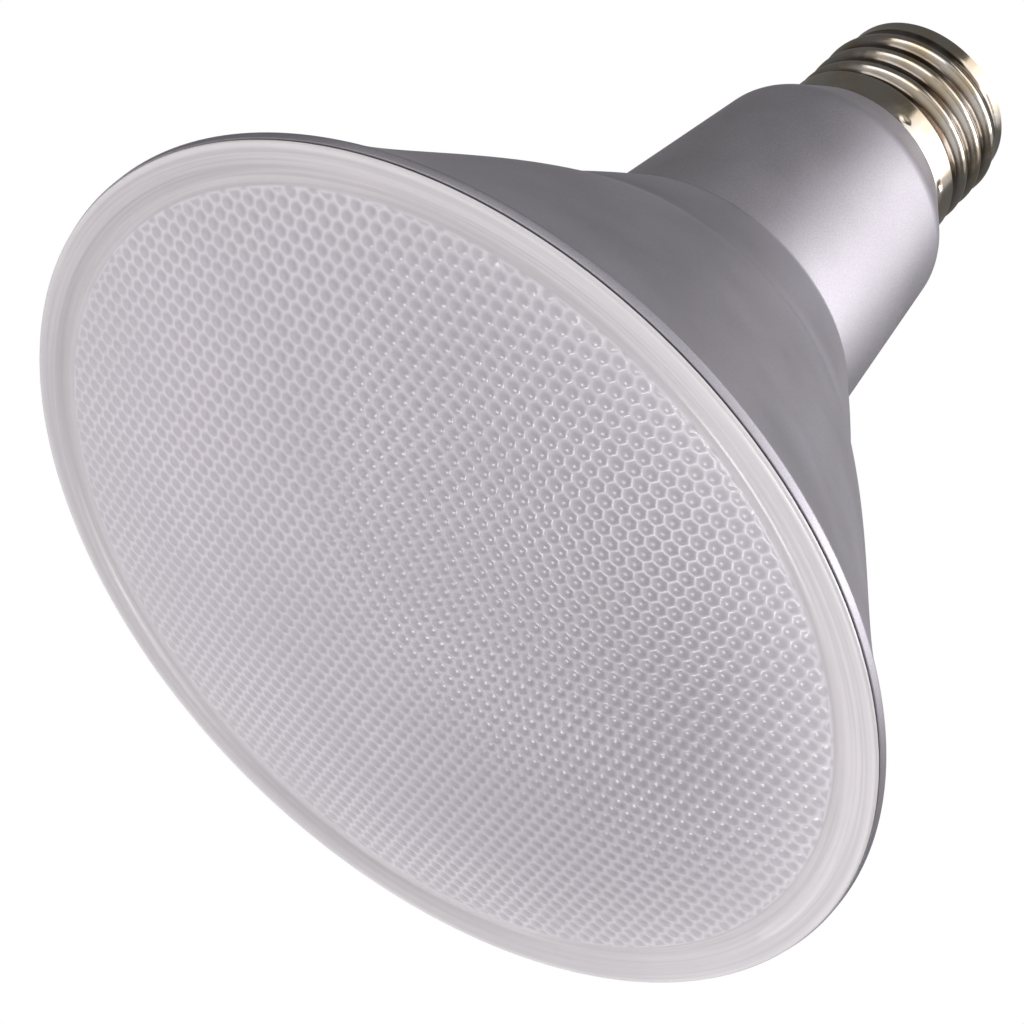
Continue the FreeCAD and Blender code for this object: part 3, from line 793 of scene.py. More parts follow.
@dataclass
class Assembly:
    """What every sub-assembly is built from."""

    levels: Levels
    finishes: dict[Slot, bpy.types.Material]

    def add(self, bm: bmesh.types.BMesh, name: str, slot: Slot, node: str) -> None:
        """Makes a finished piece of a mesh and ties it to the lamp.

        Args:
            bm: The mesh, in metres. It is freed here.
            name: The new object's name.
            slot: The material slot of the record that it takes its finish from.
            node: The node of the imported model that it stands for.
        """
        piece = mesh_object(bm, name, self.finishes[slot])
        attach(piece, BODY)
        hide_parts(node)
        LOG.info("%s: %d faces", name, len(piece.data.polygons))


@dataclass
class LensAssembly(Assembly):
    """Domed lens with its field of small hexagonal lenses, and the sealing ring behind its flange."""

    cell_pitch: float = 2.02
    lattice_angle: float = -1.8
    cell_curve: float = 2.7
    fade_width: float = 0.8
    merge_share: float = 0.05
    cut_sides: int = 96
    cut_tolerance: float = 1e-5
    edge_merge_share: float = 0.12
    sliver_share: float = 0.02
    ring_start: float = 1e-6
    ring_shares: tuple[float, float] = (0.7, 0.38)
    groove_bottom: float = 1.5
    groove_width: float = 3.6
    groove_depth: float = 0.45
    groove_rows: int = 14
    edge_round: float = 0.3
    plug_gap: float = 0.15
    back_rows: int = 9
    gasket_recess: float = 0.3
    gasket_rows: int = 4
    gasket_steps: int = 192
    crease_angle: float = 50.0

    def rows(self) -> tuple[Vector, Vector]:
        """Works out how the small lenses are set out.

        Returns:
            The two steps from one small lens to its neighbours.
        """
        first = math.radians(self.lattice_angle)
        second = first + math.pi / 3
        return (
            Vector((math.cos(first), math.sin(first), 0)) * self.cell_pitch,
            Vector((math.cos(second), math.sin(second), 0)) * self.cell_pitch,
        )

    def lattice(self) -> bmesh.types.BMesh:
        """Lays a flat field of hexagons and cuts it off round the field's edge.

        Returns:
            The mesh, in millimetres.
        """
        bm = bmesh.new()
        along, across = self.rows()
        corner = self.cell_pitch / math.sqrt(3)
        reach = self.levels.field_radius + self.cell_pitch
        count = int(reach / (self.cell_pitch * math.sqrt(3) / 2)) + 1
        turn = Matrix.Rotation(math.radians(self.lattice_angle), 4, "Z")
        for row in range(-count, count + 1):
            for place in range(-2 * count, 2 * count + 1):
                centre = along * place + across * row
                if centre.length < reach:
                    bmesh.ops.create_circle(bm, cap_ends=True, segments=6, radius=corner,
                                            matrix=Matrix.Translation(centre) @ turn)
        bmesh.ops.remove_doubles(bm, verts=bm.verts, dist=corner * self.merge_share)
        for side in range(self.cut_sides):
            angle = 2 * math.pi * side / self.cut_sides
            out = Vector((math.cos(angle), math.sin(angle), 0))
            bmesh.ops.bisect_plane(bm, geom=bm.verts[:] + bm.edges[:] + bm.faces[:], clear_outer=True,
                                   plane_co=out * self.levels.field_radius, plane_no=out,
                                   dist=self.cut_tolerance)
        edge = [vert for vert in bm.verts if vert.is_boundary]
        for vert in edge:
            vert.co = vert.co.normalized() * self.levels.field_radius
        bmesh.ops.remove_doubles(bm, verts=edge, dist=corner * self.edge_merge_share)
        bmesh.ops.dissolve_degenerate(bm, edges=bm.edges, dist=corner * self.sliver_share)
        return bm

    def add_rings(self, bm: bmesh.types.BMesh) -> None:
        """Divides each cell into rings about its middle.

        Args:
            bm: The field of cells.
        """
        bmesh.ops.subdivide_edges(bm, edges=[edge for edge in bm.edges if not edge.is_boundary], cuts=1)
        cells = bm.faces[:]
        share_left = 1.0
        for share in self.ring_shares:
            bmesh.ops.inset_individual(bm, faces=cells, thickness=self.ring_start, use_even_offset=False)
            for cell in cells:
                middle = cell.calc_center_median()
                for vert in cell.verts:
                    vert.co = middle + (vert.co - middle) * (share / share_left)
            share_left = share
        bmesh.ops.poke(bm, faces=cells, center_mode="MEAN")

    def seam_distance(self, x: float, y: float) -> float:
        """Distance from a point to the middle of its cell.

        Args:
            x: Across the lens.
            y: Across the lens.

        Returns:
            The distance in millimetres.
        """
        along, across = self.rows()
        determinant = along.x * across.y - along.y * across.x
        place = (x * across.y - y * across.x) / determinant
        row = (along.x * y - along.y * x) / determinant
        nearest = math.inf
        for step_place in (math.floor(place), math.floor(place) + 1):
            for step_row in (math.floor(row), math.floor(row) + 1):
                gap_x = x - along.x * step_place - across.x * step_row
                gap_y = y - along.y * step_place - across.y * step_row
                nearest = min(nearest, math.hypot(gap_x, gap_y))
        return nearest

    def raise_cells(self, bm: bmesh.types.BMesh) -> None:
        """Lays the field on the dome and rounds each cell into a small lens.

        Args:
            bm: The field of cells.
        """
        seam = bm.verts.layers.float.new("cell_seam")
        bm.verts.layers.float.new("rim_band")
        seam_reach = self.cell_pitch / math.sqrt(3)
        dome = self.levels.dome_radius
        for vert in bm.verts:
            radius = math.hypot(vert.co.x, vert.co.y)
            gap = self.seam_distance(vert.co.x, vert.co.y)
            fade = max(0.0, min(1.0, (self.levels.field_radius - radius) / self.fade_width))
            sink = gap * gap / (2 * self.cell_curve) * eased(fade)
            vert.co.z = sunk(dome, dome, radius) + sink
            vert[seam] = gap / seam_reach

    def rim_section(self) -> list[Point]:
        """Draws the section from the field's edge round the flange and over the back to the axis.

        Returns:
            The points, without the one on the field's edge.
        """
        levels = self.levels
        field, plane, edge = levels.field_radius, levels.rim_plane, self.edge_round
        plug = levels.lens_radius - levels.flange_width - self.plug_gap
        groove = []
        for row in range(1, self.groove_rows + 1):
            out = self.groove_width * row / self.groove_rows
            if out < self.groove_bottom:
                share = out / self.groove_bottom
                depth = self.groove_depth * share * (2 - share)
            else:
                share = (out - self.groove_bottom) / (self.groove_width - self.groove_bottom)
                depth = self.groove_depth * (1 - eased(share))
            groove.append((field + out, plane + depth))
        corner = corner_points((levels.lens_radius - edge, plane), (levels.lens_radius, plane + edge),
                               (levels.lens_radius - edge, plane + edge))
        flange = [
            (levels.lens_radius, levels.flange_back),
            (plug, levels.flange_back),
            (plug, levels.back_plane),
        ]
        back = []
        for row in range(self.back_rows):
            radius = field * (1 - row / self.back_rows)
            back.append((radius, sunk(levels.dome_radius, levels.dome_radius - levels.lens_wall, radius)))
        return groove + corner + flange + back

    def add_rim(self, bm: bmesh.types.BMesh) -> None:
        """Carries the field's edge on round the rim, flange and back until the lens is closed.

        Args:
            bm: The field of cells.
        """
        rim = bm.verts.layers.float["rim_band"]
        ring = [edge for edge in bm.edges if edge.is_boundary]
        verts: list[bmesh.types.BMVert] = []
        for radius, height in self.rim_section():
            verts, ring = extruded(bm, ring)
            for vert in verts:
                out = Vector((vert.co.x, vert.co.y, 0)).normalized()
                vert.co = out * radius + Vector((0, 0, height))
                vert[rim] = 1.0
        bmesh.ops.pointmerge(bm, verts=verts, merge_co=(0, 0, self.levels.lens_wall))

    def build_lens(self) -> None:
        """Builds the lens as one closed mesh."""
        bm = self.lattice()
        self.add_rings(bm)
        self.raise_cells(bm)
        self.add_rim(bm)
        bmesh.ops.scale(bm, vec=(MM, MM, MM), verts=bm.verts)
        close_up(bm, math.radians(self.crease_angle))
        self.add(bm, "honeycomb_lens", Slot.LENS, "lens")

    def build_gasket(self) -> None:
        """Builds the sealing ring."""
        levels = self.levels
        inner = levels.lens_radius - levels.flange_width
        outer = levels.lens_radius - self.gasket_recess
        middle = (levels.flange_back + levels.lip_front) / 2
        waist = arc_points((outer, levels.flange_back), (outer - levels.gasket_thickness / 3, middle),
                           (outer, levels.lip_front), self.gasket_rows)
        bm = turned([(inner, levels.flange_back)] + waist + [(inner, levels.lip_front)],
                    self.gasket_steps)
        close_up(bm)
        self.add(bm, "seal_ring", Slot.GASKET, "lens_gasket")


@dataclass
class Housings(Assembly):
    """Flared silver housing and the separate neck behind it."""

    lip_round: float = 0.12
    lip_blend: float = 0.5
    flare_end_radius: float = 32.3
    mouth_slope: float = -0.82
    flare_end_slope: float = -0.8
    crease_length: float = 4.0
    crease_groove: float = 0.22
    crease_reach: float = 1.4
    band_bulge: float = 0.16
    band_edge: float = 0.5
    neck_radius: float = 21.05
    joint_ledge: float = 1.45
    housing_wall: float = 2.0
    neck_end_radius: float = 17.45
    shoulder_round: float = 1.2
    shoulder_end_radius: float = 13.3
    neck_wall: float = 1.8
    spigot_length: float = 7.0
    spigot_height: float = 6.0
    spigot_wall: float = 1.2
    floor_gap: float = 0.2
    press_gap: float = 0.05
    round_rows: int = 6
    flare_rows: int = 60
    crease_rows: int = 10
    band_rows: int = 24
    inner_rows: int = 20
    neck_rows: int = 16
    steps: int = 256

    @property
    def flare_start_radius(self) -> float:
        """Radius where the lip runs into the flare."""
        lip = self.levels.lens_radius + self.levels.lip_overhang
        return lip + self.mouth_slope * self.lip_blend / 2

    @property
    def band_end_radius(self) -> float:
        """Radius of the housing's rear edge, a ledge wider than the neck."""
        return self.neck_radius + self.joint_ledge

    @property
    def wall(self) -> float:
        """The housing's wall, measured straight out from the axis."""
        drop = self.flare_start_radius - self.flare_end_radius
        return self.housing_wall * math.hypot(1, drop / self.levels.flare_length)

    def pressed(self, points: Sequence[Point]) -> list[Point]:
        """Presses the faint groove of the crease into the flare and fills the band out behind it.

        Args:
            points: Outside of the flare and the band.

        Returns:
            The same points, moved by a fraction of a millimetre.
        """
        levels = self.levels
        middle = levels.flare_end + self.crease_length / 2
        last = levels.bell_rear - self.band_edge
        moved = []
        for radius, height in points:
            dip = self.crease_groove * math.exp(-((height - middle) / self.crease_reach) ** 2)
            share = min(1.0, max(0.0, (height - middle) / (last - middle)))
            moved.append((radius - dip + self.band_bulge * math.sin(math.pi * share), height))
        return moved

    def build_bell(self) -> None:
        """Builds the flared housing."""
        levels = self.levels
        lip = levels.lens_radius + levels.lip_overhang
        rim, edge, start = self.lip_round, self.band_edge, self.flare_start_radius
        rebate = levels.lens_radius - levels.flange_width
        floor = levels.back_plane + self.floor_gap
        end, end_slope = self.flare_end_radius, self.flare_end_slope
        last, edge_start = self.band_end_radius, levels.bell_rear - edge
        drop = last - end - end_slope * self.crease_length / 2
        band_slope = drop / (levels.band_length - edge - self.crease_length / 2)
        crease_end = (end + (end_slope + band_slope) / 2 * self.crease_length,
                      levels.flare_end + self.crease_length)
        front_edge = corner_points((lip - rim, levels.lip_front), (lip, levels.lip_front + rim),
                                   (lip - rim, levels.lip_front + rim))
        lip_end = sweep_points((lip, levels.lip_rear - self.lip_blend), 0.0,
                               (start, levels.lip_rear), self.mouth_slope, self.round_rows)
        flare = sweep_points((start, levels.lip_rear), self.mouth_slope,
                             (end, levels.flare_end), end_slope, self.flare_rows)
        crease = sweep_points((end, levels.flare_end), end_slope, crease_end, band_slope,
                              self.crease_rows)
        band = line_points(crease_end, (last, edge_start), self.band_rows)
        rear_edge = corner_points((last, edge_start), (last - edge, levels.bell_rear),
                                  (last - edge, edge_start), self.round_rows)
        inner_flare = sweep_points((start - self.wall, floor), self.mouth_slope,
                                   (end - self.wall, levels.flare_end), end_slope, self.inner_rows)
        section = [(rebate, floor), (rebate, levels.lip_front)] + front_edge + lip_end
        section += self.pressed(flare + crease + band) + rear_edge
        section += [(last - self.wall, levels.bell_rear)] + inner_flare[::-1]
        bm = turned(section, self.steps)
        close_up(bm)
        self.add(bm, "silver_bell", Slot.HOUSING, "reflector_housing")

    def build_neck(self) -> None:
        """Builds the neck that holds the driver."""
        levels = self.levels
        taper = (self.neck_end_radius - self.neck_radius) / levels.neck_length
        slope = (self.shoulder_end_radius - self.neck_end_radius) / levels.shoulder_length
        turn = self.shoulder_round
        bend_low = (self.neck_end_radius - taper * turn, levels.shoulder_start - turn)
        bend_high = (self.neck_end_radius + slope * turn, levels.shoulder_start + turn)
        plug = self.band_end_radius - self.wall - self.press_gap
        low = levels.bell_rear - self.spigot_length
        collar = levels.skirt_radius - levels.sheet - self.press_gap
        collar_end = levels.collar_seat + levels.skirt_length
        spigot = levels.root_radius - levels.sheet - self.press_gap
        top = collar_end + self.spigot_height
        body = line_points((self.neck_radius, levels.bell_rear), bend_low, self.neck_rows)
        bend = sweep_points(bend_low, taper, bend_high, slope, self.crease_rows)
        shoulder = line_points(bend_high, (self.shoulder_end_radius, levels.collar_seat), self.round_rows)
        bore = spigot - self.spigot_wall
        section = [(plug - self.neck_wall, low), (plug, low), (plug, levels.bell_rear)]
        section += body + bend + shoulder
        section += [
            (collar, levels.collar_seat),
            (collar, collar_end),
            (spigot, collar_end + levels.skirt_taper),
            (spigot, top),
            (bore, top),
            (bore, levels.collar_seat - self.neck_wall),
            (self.neck_end_radius - self.neck_wall, levels.shoulder_start),
            (plug - self.neck_wall, levels.bell_rear),
        ]
        bm = turned(section, self.steps)
        close_up(bm)
        self.add(bm, "silver_neck", Slot.NECK, "driver_housing")


@dataclass
class ScrewBase(Assembly):
    """Rolled screw shell with its insulator and centre contact."""

    base_half_width: float = 1.7
    first_angle: float = 100.0
    run_out: float = 0.25
    crest_power: float = 0.8
    around: int = 180
    row_height: float = 0.12
    skirt_rows: int = 32
    taper_rows: int = 10
    tip_rows: int = 18
    tip_lean: float = 0.2
    tip_rise: float = 0.72
    stake_count: int = 8
    stake_angle: float = -13.0
    stake_height: float = 1.05
    stake_reach: float = 0.7
    stake_depth: float = 0.22
    insulator_flange: float = 1.5
    insulator_end_radius: float = 5.6
    insulator_bulge: float = 0.3
    insulator_rows: int = 10
    insulator_steps: int = 128
    cone_rows: int = 12
    contact_radius: float = 4.8
    contact_height: float = 1.5
    contact_edge: float = 0.5
    contact_steps: int = 96
    stem_radius: float = 1.3
    stem_length: float = 6.2
    inner_row_share: int = 12
    crease_angle: float = 50.0

    def tip_points(self, inset: float, count: int) -> list[Point]:
        """Rounds the sheet in at the tip end.

        Args:
            inset: How far inside the sheet's outer face the round runs.
            count: How many stretches it is divided into.

        Returns:
            The points from the body to the mouth.
        """
        levels = self.levels
        outer = levels.root_radius - inset
        depth = levels.root_radius - levels.mouth_radius
        middle = (outer - depth * self.tip_lean,
                  levels.thread_end + levels.shell_round * self.tip_rise - inset)
        end = (levels.mouth_radius, levels.shell_end - inset)
        return arc_points((outer, levels.thread_end), middle, end, count)

    def body_section(self) -> list[Point]:
        """Draws the outside of the shell without its thread, in short even rows.

        Returns:
            The points from the skirt to the tip end.
        """
        levels = self.levels
        taper_start = levels.collar_seat + levels.skirt_length
        taper_end = taper_start + levels.skirt_taper
        corners = ((levels.skirt_radius, levels.collar_seat), (levels.skirt_radius, taper_start),
                   (levels.root_radius, taper_end), (levels.root_radius, levels.thread_end))
        rows = int((levels.thread_end - taper_end) / self.row_height)
        section: list[Point] = []
        for start, end, count in zip(corners, corners[1:], (self.skirt_rows, self.taper_rows, rows)):
            section += line_points(start, end, count)
        return without_repeats(section + self.tip_points(0.0, self.tip_rows))

    def ridge(self, angle: float, height: float) -> float:
        """How far the thread stands out at one place.

        Args:
            angle: Round the axis, from 0 to a full turn.
            height: Along the axis.

        Returns:
            The rise over the root in millimetres.
        """
        levels = self.levels
        lift = levels.crest_radius - levels.root_radius
        rise = 0.0
        for whole in range(-1, int(levels.thread_turns) + 3):
            turn = whole + (angle - math.radians(self.first_angle)) / (2 * math.pi)
            if not 0 <= turn <= levels.thread_turns:
                continue
            gap = abs(height - levels.thread_start - turn * levels.thread_pitch)
            if gap < self.base_half_width:
                ends = min(1.0, turn / self.run_out, (levels.thread_turns - turn) / self.run_out)
                wave = 0.5 + 0.5 * math.cos(math.pi * gap / self.base_half_width)
                rise = max(rise, lift * eased(ends) * wave ** self.crest_power)
        return rise

    def stake(self, angle: float, height: float) -> float:
        """How far a stake mark dents the skirt at one place.

        Args:
            angle: Round the axis, from 0 to a full turn.
            height: Along the axis.

        Returns:
            The dent in millimetres.
        """
        levels = self.levels
        middle = levels.collar_seat + self.stake_height
        dent = 0.0
        for index in range(self.stake_count):
            place = math.radians(self.stake_angle) + 2 * math.pi * index / self.stake_count
            across = (angle - place + math.pi) % (2 * math.pi) - math.pi
            gap = math.hypot(across * levels.skirt_radius, height - middle) / self.stake_reach
            if gap < 1:
                dent = self.stake_depth * (1 - gap * gap) ** 2
        return dent

    def outer_radius(self, angle: float, base: float, height: float) -> float:
        """Outside radius of the shell at one place."""
        threaded = self.levels.root_radius + self.ridge(angle, height)
        return max(base, threaded) - self.stake(angle, height)

    def valley_share(self, radius: float, height: float) -> float:
        """How deep a place lies between the thread's crests.

        Args:
            radius: The shell's outside radius there.
            height: Along the axis.

        Returns:
            The depth, from 0 to 1.
        """
        levels = self.levels
        if not levels.thread_start - levels.skirt_taper < height < levels.thread_end + levels.sheet:
            return 0.0
        share = (levels.crest_radius - radius) / (levels.crest_radius - levels.root_radius)
        return min(1.0, max(0.0, share)) ** 2

    def build_shell(self) -> None:
        """Builds the screw shell, with its thread rolled into the sheet's outside; the inside is left
        plain.
        """
        levels = self.levels
        bm = bmesh.new()
        section = self.body_section()
        angles = bm.verts.layers.float.new("turn")
        valley = bm.verts.layers.float.new("valley")
        first = bmesh.ops.create_circle(bm, cap_ends=False, segments=self.around, radius=1.0)["verts"]
        for vert in first:
            vert[angles] = math.atan2(vert.co.y, vert.co.x) % (2 * math.pi)
        ring = bm.edges[:]
        inner_end = levels.shell_end - levels.sheet
        inner = [(radius - levels.sheet, min(height, inner_end))
                 for radius, height in section[::self.inner_row_share]]
        inner_rows = [(levels.mouth_radius, inner_end)] + inner[::-1]
        rows = [(radius, height, True) for radius, height in section]
        rows += [(radius, height, False) for radius, height in inner_rows]
        verts = first
        for index, (base, height, outside) in enumerate(rows):
            if index:
                verts, ring = extruded(bm, ring)
            for vert in verts:
                angle = vert[angles]
                radius = self.outer_radius(angle, base, height) if outside else base
                vert.co = (radius * math.cos(angle), radius * math.sin(angle), height)
                # The valley mask carries painted shade; the sheet's inside gets it in full.
                vert[valley] = self.valley_share(radius, height) if outside else 1.0
        bmesh.ops.bridge_loops(bm, edges=[edge for edge in bm.edges if edge.is_boundary])
        bmesh.ops.scale(bm, vec=(MM, MM, MM), verts=bm.verts)
        close_up(bm, math.radians(self.crease_angle))
        self.add(bm, "rolled_screw_shell", Slot.SHELL, "screw_shell")

    def build_insulator(self) -> None:
        """Builds the moulded insulator at the tip."""
        levels = self.levels
        middle = ((levels.mouth_radius + self.insulator_end_radius) / 2 + self.insulator_bulge,
                  (levels.shell_end + levels.contact_seat) / 2)
        cone = arc_points((levels.mouth_radius, levels.shell_end), middle,
                          (self.insulator_end_radius, levels.contact_seat), self.cone_rows)
        low = levels.thread_end - self.insulator_flange
        section = [(self.stem_radius, low), (levels.root_radius - levels.sheet, low)]
        section += self.tip_points(levels.sheet, self.insulator_rows) + cone
        section += [(self.stem_radius, levels.contact_seat)]
        bm = turned(section, self.insulator_steps)
        close_up(bm)
        self.add(bm, "tip_insulator", Slot.INSULATOR, "base_insulator")

    def build_contact(self) -> None:
        """Builds the centre contact."""
        seat = self.levels.contact_seat
        top = seat + self.contact_height
        rise = self.contact_height - self.contact_edge
        sphere = (self.contact_radius ** 2 + rise ** 2) / (2 * rise)
        half = self.contact_radius / 2
        dome = arc_points((self.contact_radius, seat + self.contact_edge),
                          (half, top - sphere + math.sqrt(sphere ** 2 - half ** 2)), (0.0, top),
                          self.cone_rows)
        stem_end = seat - self.stem_length
        section = [(0.0, stem_end), (self.stem_radius, stem_end), (self.stem_radius, seat),
                   (self.contact_radius, seat)]
        bm = turned(section + dome, self.contact_steps)
        close_up(bm)
        self.add(bm, "tip_contact", Slot.CONTACT, "centre_contact")


@dataclass
class InnerPieces:
    """Light engine and driver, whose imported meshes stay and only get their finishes."""

    finishes: dict[Slot, bpy.types.Material]

    def dress(self) -> None:
        """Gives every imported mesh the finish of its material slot."""
        for entry in frame["record"]["subparts"]:
            node = frame["nodes"][entry["node"]]
            node.data.materials.clear()
            node.data.materials.append(self.finishes[Slot(entry["material_slot"])])


# Studio

@dataclass(frozen=True)
class Softbox:
    """A soft lamp placed by its direction as the camera sees it."""

    name: str
    direction: tuple[float, float, float]
    size: tuple[float, float]
    power: float
    distance: float = 0.8


@dataclass(frozen=True)
class GreyTent:
    """Grey cloth round the back and the sides, open towards the camera and at one window."""

    radius: float = 0.95
    front: float = 0.35
    window: tuple[float, float, float] = (0.97, 0.05, 0.0)
    window_angle: float = 32.0
    shade: float = 0.2
    subdivisions: int = 4

    def covers(self, out: Vector) -> bool:
        """Whether there is cloth in a direction, as the camera sees it."""
        return out.z < self.front and out.angle(Vector(self.window)) > math.radians(self.window_angle)


@dataclass
class Studio:
    """Camera, lamps, pale floor and white background."""

    camera_place: tuple[float, float, float] = (0.1932, -0.3153, -0.2600)
    camera_right: tuple[float, float, float] = (0.8258, 0.0, 0.564)
    camera_ahead: tuple[float, float, float] = (-0.4147, 0.6778, 0.607)
    focal_length: float = 136.65
    sensor_width: float = 36.0
    clip_start: float = 0.01
    target: tuple[float, float, float] = (0.0, 0.0, 0.045)
    floor_gap: float = 0.0004
    floor_size: float = 6.0
    floor_shade: float = 0.86
    floor_roughness: float = 0.8
    soft_light: float = 0.45

    def view_matrix(self) -> Matrix:
        """Works out the turn from the camera's directions to the model's.

        Returns:
            The turn as a matrix.
        """
        right = Vector(self.camera_right).normalized()
        back = -Vector(self.camera_ahead).normalized()
        up = back.cross(right).normalized()
        return Matrix((right, up, back)).transposed()

    def add_camera(self) -> None:
        """Sets the camera at the viewing angle of the picture."""
        data = bpy.data.cameras.new("view")
        data.lens = self.focal_length
        data.sensor_width = self.sensor_width
        data.clip_start = self.clip_start
        camera = placed("view", data)
        camera.matrix_world = Matrix.Translation(self.camera_place) @ self.view_matrix().to_4x4()
        bpy.context.scene.camera = camera

    def add_softbox(self, box: Softbox) -> None:
        """Hangs one soft lamp that faces the lamp's middle.

        Args:
            box: The lamp.
        """
        data = bpy.data.lights.new(box.name, "AREA")
        data.shape = "RECTANGLE"
        data.size, data.size_y = box.size
        data.energy = box.power
        light = placed(box.name, data)
        out = (self.view_matrix() @ Vector(box.direction)).normalized()
        light.location = Vector(self.target) + out * box.distance
        light.rotation_mode = "QUATERNION"
        light.rotation_quaternion = out.to_track_quat("Z", "Y")

    def add_tent(self, tent: GreyTent) -> None:
        """Hangs the grey cloth round the lamp.

        Args:
            tent: The cloth.
        """
        bm = bmesh.new()
        bmesh.ops.create_icosphere(bm, subdivisions=tent.subdivisions, radius=tent.radius)
        bare = [face for face in bm.faces if not tent.covers(face.calc_center_median().normalized())]
        bmesh.ops.delete(bm, geom=bare, context="FACES")
        place = Matrix.Translation(self.target) @ self.view_matrix().to_4x4()
        bmesh.ops.transform(bm, matrix=place, verts=bm.verts)
        mesh_object(bm, "grey_tent", self.tent_material(tent))

    def tent_material(self, tent: GreyTent) -> bpy.types.Material:
        """One even shade that the metal shows, clear to every other ray.

        Args:
            tent: The cloth.

        Returns:
            The material.
        """
        material, sheet, _ = new_material("grey_tent")
        shown = sheet.add("ShaderNodeLightPath").outputs["Is Glossy Ray"]
        shade = sheet.add("ShaderNodeEmission", {"Color": colour((tent.shade,) * 3)})
        clear = sheet.add("ShaderNodeBsdfTransparent")
        mix = sheet.add("ShaderNodeMixShader", {0: shown, 1: clear.outputs[0], 2: shade.outputs[0]})
        sheet.link(mix.outputs[0], sheet.tree.nodes["Material Output"], "Surface")
        return material

    def add_floor(self) -> None:
        """Lays the pale floor, which is seen only from above and lets the low lamps through."""
        bm = bmesh.new()
        bmesh.ops.create_grid(bm, x_segments=1, y_segments=1, size=self.floor_size / 2)
        bmesh.ops.translate(bm, vec=(0, 0, -self.floor_gap), verts=bm.verts)
        mesh_object(bm, "pale_floor", self.floor_material())

    def floor_material(self) -> bpy.types.Material:
        """Matt pale surface from above, nothing from below.

        Returns:
            The material.
        """
        material, sheet, shader = new_material("pale_floor")
        shader.inputs["Base Color"].default_value = colour((self.floor_shade,) * 3)
        shader.inputs["Roughness"].default_value = self.floor_roughness
        clear = sheet.add("ShaderNodeBsdfTransparent")
        below = sheet.add("ShaderNodeNewGeometry").outputs["Backfacing"]
        shadow = sheet.add("ShaderNodeLightPath").outputs["Is Shadow Ray"]
        hidden = sheet.math("MAXIMUM", below, shadow)
        mix = sheet.add("ShaderNodeMixShader", {0: hidden, 1: shader.outputs[0], 2: clear.outputs[0]})
        sheet.link(mix.outputs[0], sheet.tree.nodes["Material Output"], "Surface")
        return material

    def add_world(self) -> None:
        """White background for what the camera and the metal see, plain grey light for the rest."""
        world = bpy.data.worlds.new("white_studio")
        bpy.context.scene.world = world
        world.use_nodes = True
        sheet = NodeSheet(world.node_tree)
        sheet.tree.nodes.clear()
        path = sheet.add("ShaderNodeLightPath")
        seen = sheet.math("MAXIMUM", path.outputs["Is Camera Ray"], path.outputs["Is Transmission Ray"])
        shown = sheet.math("MAXIMUM", seen, path.outputs["Is Glossy Ray"])
        strength = sheet.ramp(shown, low=0.0, high=1.0, out_low=self.soft_light)
        light = sheet.add("ShaderNodeBackground", {"Color": colour((1.0,) * 3), "Strength": strength})
        sheet.add("ShaderNodeOutputWorld", {"Surface": light.outputs[0]})

    def build(self, boxes: Sequence[Softbox], tent: GreyTent) -> None:
        """Sets up the whole studio.

        Args:
            boxes: The soft lamps.
            tent: The grey cloth round the lamp.
        """
        self.add_camera()
        self.add_floor()
        self.add_world()
        for box in boxes:
            self.add_softbox(box)
        self.add_tent(tent)
        bpy.context.scene.view_settings.view_transform = "Standard"


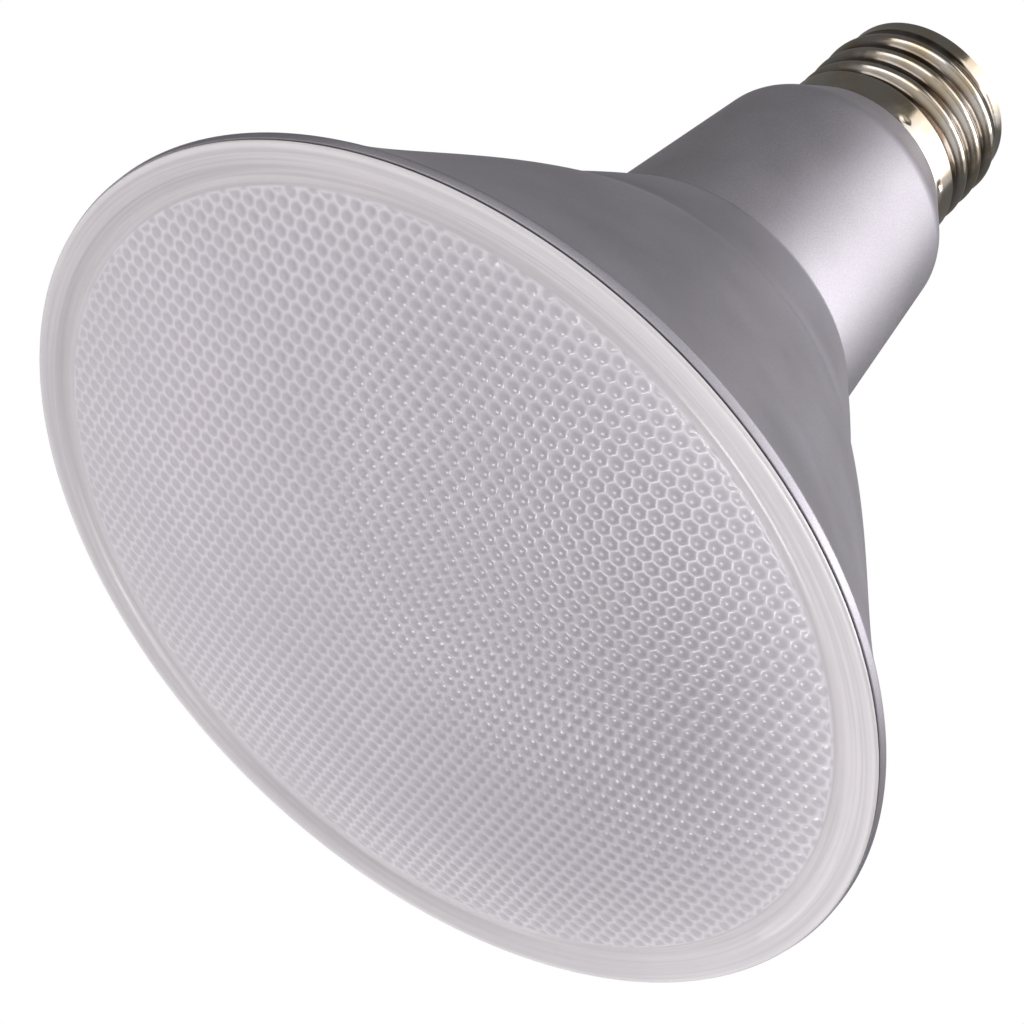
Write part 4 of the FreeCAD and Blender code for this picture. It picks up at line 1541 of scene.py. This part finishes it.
def make_finishes(effects: Effects) -> dict[Slot, bpy.types.Material]:
    """Builds every finish once.

    Args:
        effects: The shared node groups.

    Returns:
        Materials by slot.
    """
    finishes = {
        Slot.LENS: LensPlastic("lens_plastic", rgb=(0.390, 0.370, 0.397), seam_highlight_rgb=(0.545, 0.515, 0.55),
                               rim_rgb=(0.48, 0.455, 0.468), rim_dark_rgb=(0.415, 0.395, 0.404),
                               edge_highlight_rgb=(0.52, 0.495, 0.505)),
        Slot.GASKET: Plastic("seal_rubber", (0.12, 0.12, 0.125), 0.6),
        Slot.HOUSING: SilverPaint("bell_paint", (0.287, 0.270, 0.298), 0.5),
        Slot.NECK: SilverPaint("neck_paint", (0.317, 0.298, 0.327), 0.5),
        Slot.SHELL: PlatedSheet("nickel_plate", (0.40, 0.37, 0.335), (0.38, 0.31, 0.225), 0.15),
        Slot.INSULATOR: Plastic("black_insulator", (0.02, 0.02, 0.022), 0.3),
        Slot.CONTACT: PlatedSheet("contact_plate", (0.58, 0.54, 0.46), (0.52, 0.44, 0.32)),
        Slot.WHITE_PLASTIC: Plastic("white_plastic", (0.82, 0.82, 0.81), 0.4),
        Slot.LED_BOARD: Plastic("white_board_mask", (0.80, 0.80, 0.78), 0.35),
        Slot.PHOSPHOR: Plastic("yellow_phosphor", (0.83, 0.62, 0.10), 0.5),
        Slot.PAD: Plastic("grey_pad", (0.34, 0.36, 0.38), 0.7),
        Slot.SPREADER: Plastic("pressed_aluminium", (0.58, 0.58, 0.59), 0.38, metallic=1.0),
        Slot.STEEL: Plastic("zinc_steel", (0.50, 0.50, 0.50), 0.32, metallic=1.0),
        Slot.WIRE: Plastic("red_insulation", (0.50, 0.03, 0.02), 0.45),
        Slot.CIRCUIT_BOARD: Plastic("green_laminate", (0.02, 0.12, 0.04), 0.4),
        Slot.FERRITE: Plastic("dark_ferrite", (0.03, 0.03, 0.032), 0.55),
        Slot.BOBBIN: Plastic("black_bobbin", (0.015, 0.015, 0.017), 0.5),
        Slot.WINDING: Plastic("yellow_tape", (0.70, 0.46, 0.05), 0.35),
        Slot.COPPER: Plastic("enamelled_copper", (0.48, 0.16, 0.05), 0.25, metallic=0.9),
        Slot.FILM_CASE: Plastic("yellow_case", (0.62, 0.38, 0.02), 0.35),
        Slot.CAN: Plastic("dark_sleeve", (0.01, 0.012, 0.03), 0.3),
        Slot.CERAMIC: Plastic("blue_coating", (0.02, 0.07, 0.30), 0.35),
        Slot.RESISTOR: Plastic("green_cement", (0.12, 0.22, 0.17), 0.8),
        Slot.CHIP: Plastic("black_package", (0.012, 0.012, 0.012), 0.55),
        Slot.TINNED: Plastic("tinned_wire", (0.60, 0.60, 0.61), 0.28, metallic=1.0),
    }
    return {slot: finish.make(effects) for slot, finish in finishes.items()}


def main() -> None:
    """Builds the lamp and its studio."""
    logging.basicConfig(level=logging.INFO, format="%(name)s: %(message)s")
    finishes = make_finishes(Effects())
    InnerPieces(finishes).dress()
    levels = Levels()
    lens = LensAssembly(levels, finishes)
    lens.build_lens()
    lens.build_gasket()
    housings = Housings(levels, finishes)
    housings.build_bell()
    housings.build_neck()
    base = ScrewBase(levels, finishes)
    base.build_shell()
    base.build_insulator()
    base.build_contact()
    Studio().build(
        (
            Softbox("right_key", (0.985, 0.0, 0.0), (0.50, 0.44), 4.4),
            Softbox("right_high", (0.84, 0.49, -0.10), (0.44, 0.50), 1.6),
            Softbox("front_fill", (0.22, 0.20, 0.95), (0.44, 0.44), 1.37),
            Softbox("top_fill", (-0.12, 0.76, 0.62), (0.90, 0.44), 3.4),
            Softbox("left_low", (-0.86, -0.50, -0.12), (0.60, 0.50), 5.6),
            Softbox("low_spark", (-0.59, -0.79, 0.19), (0.12, 0.12), 0.9),
        ),
        GreyTent(),
    )


if __name__ == "__main__":
    main()
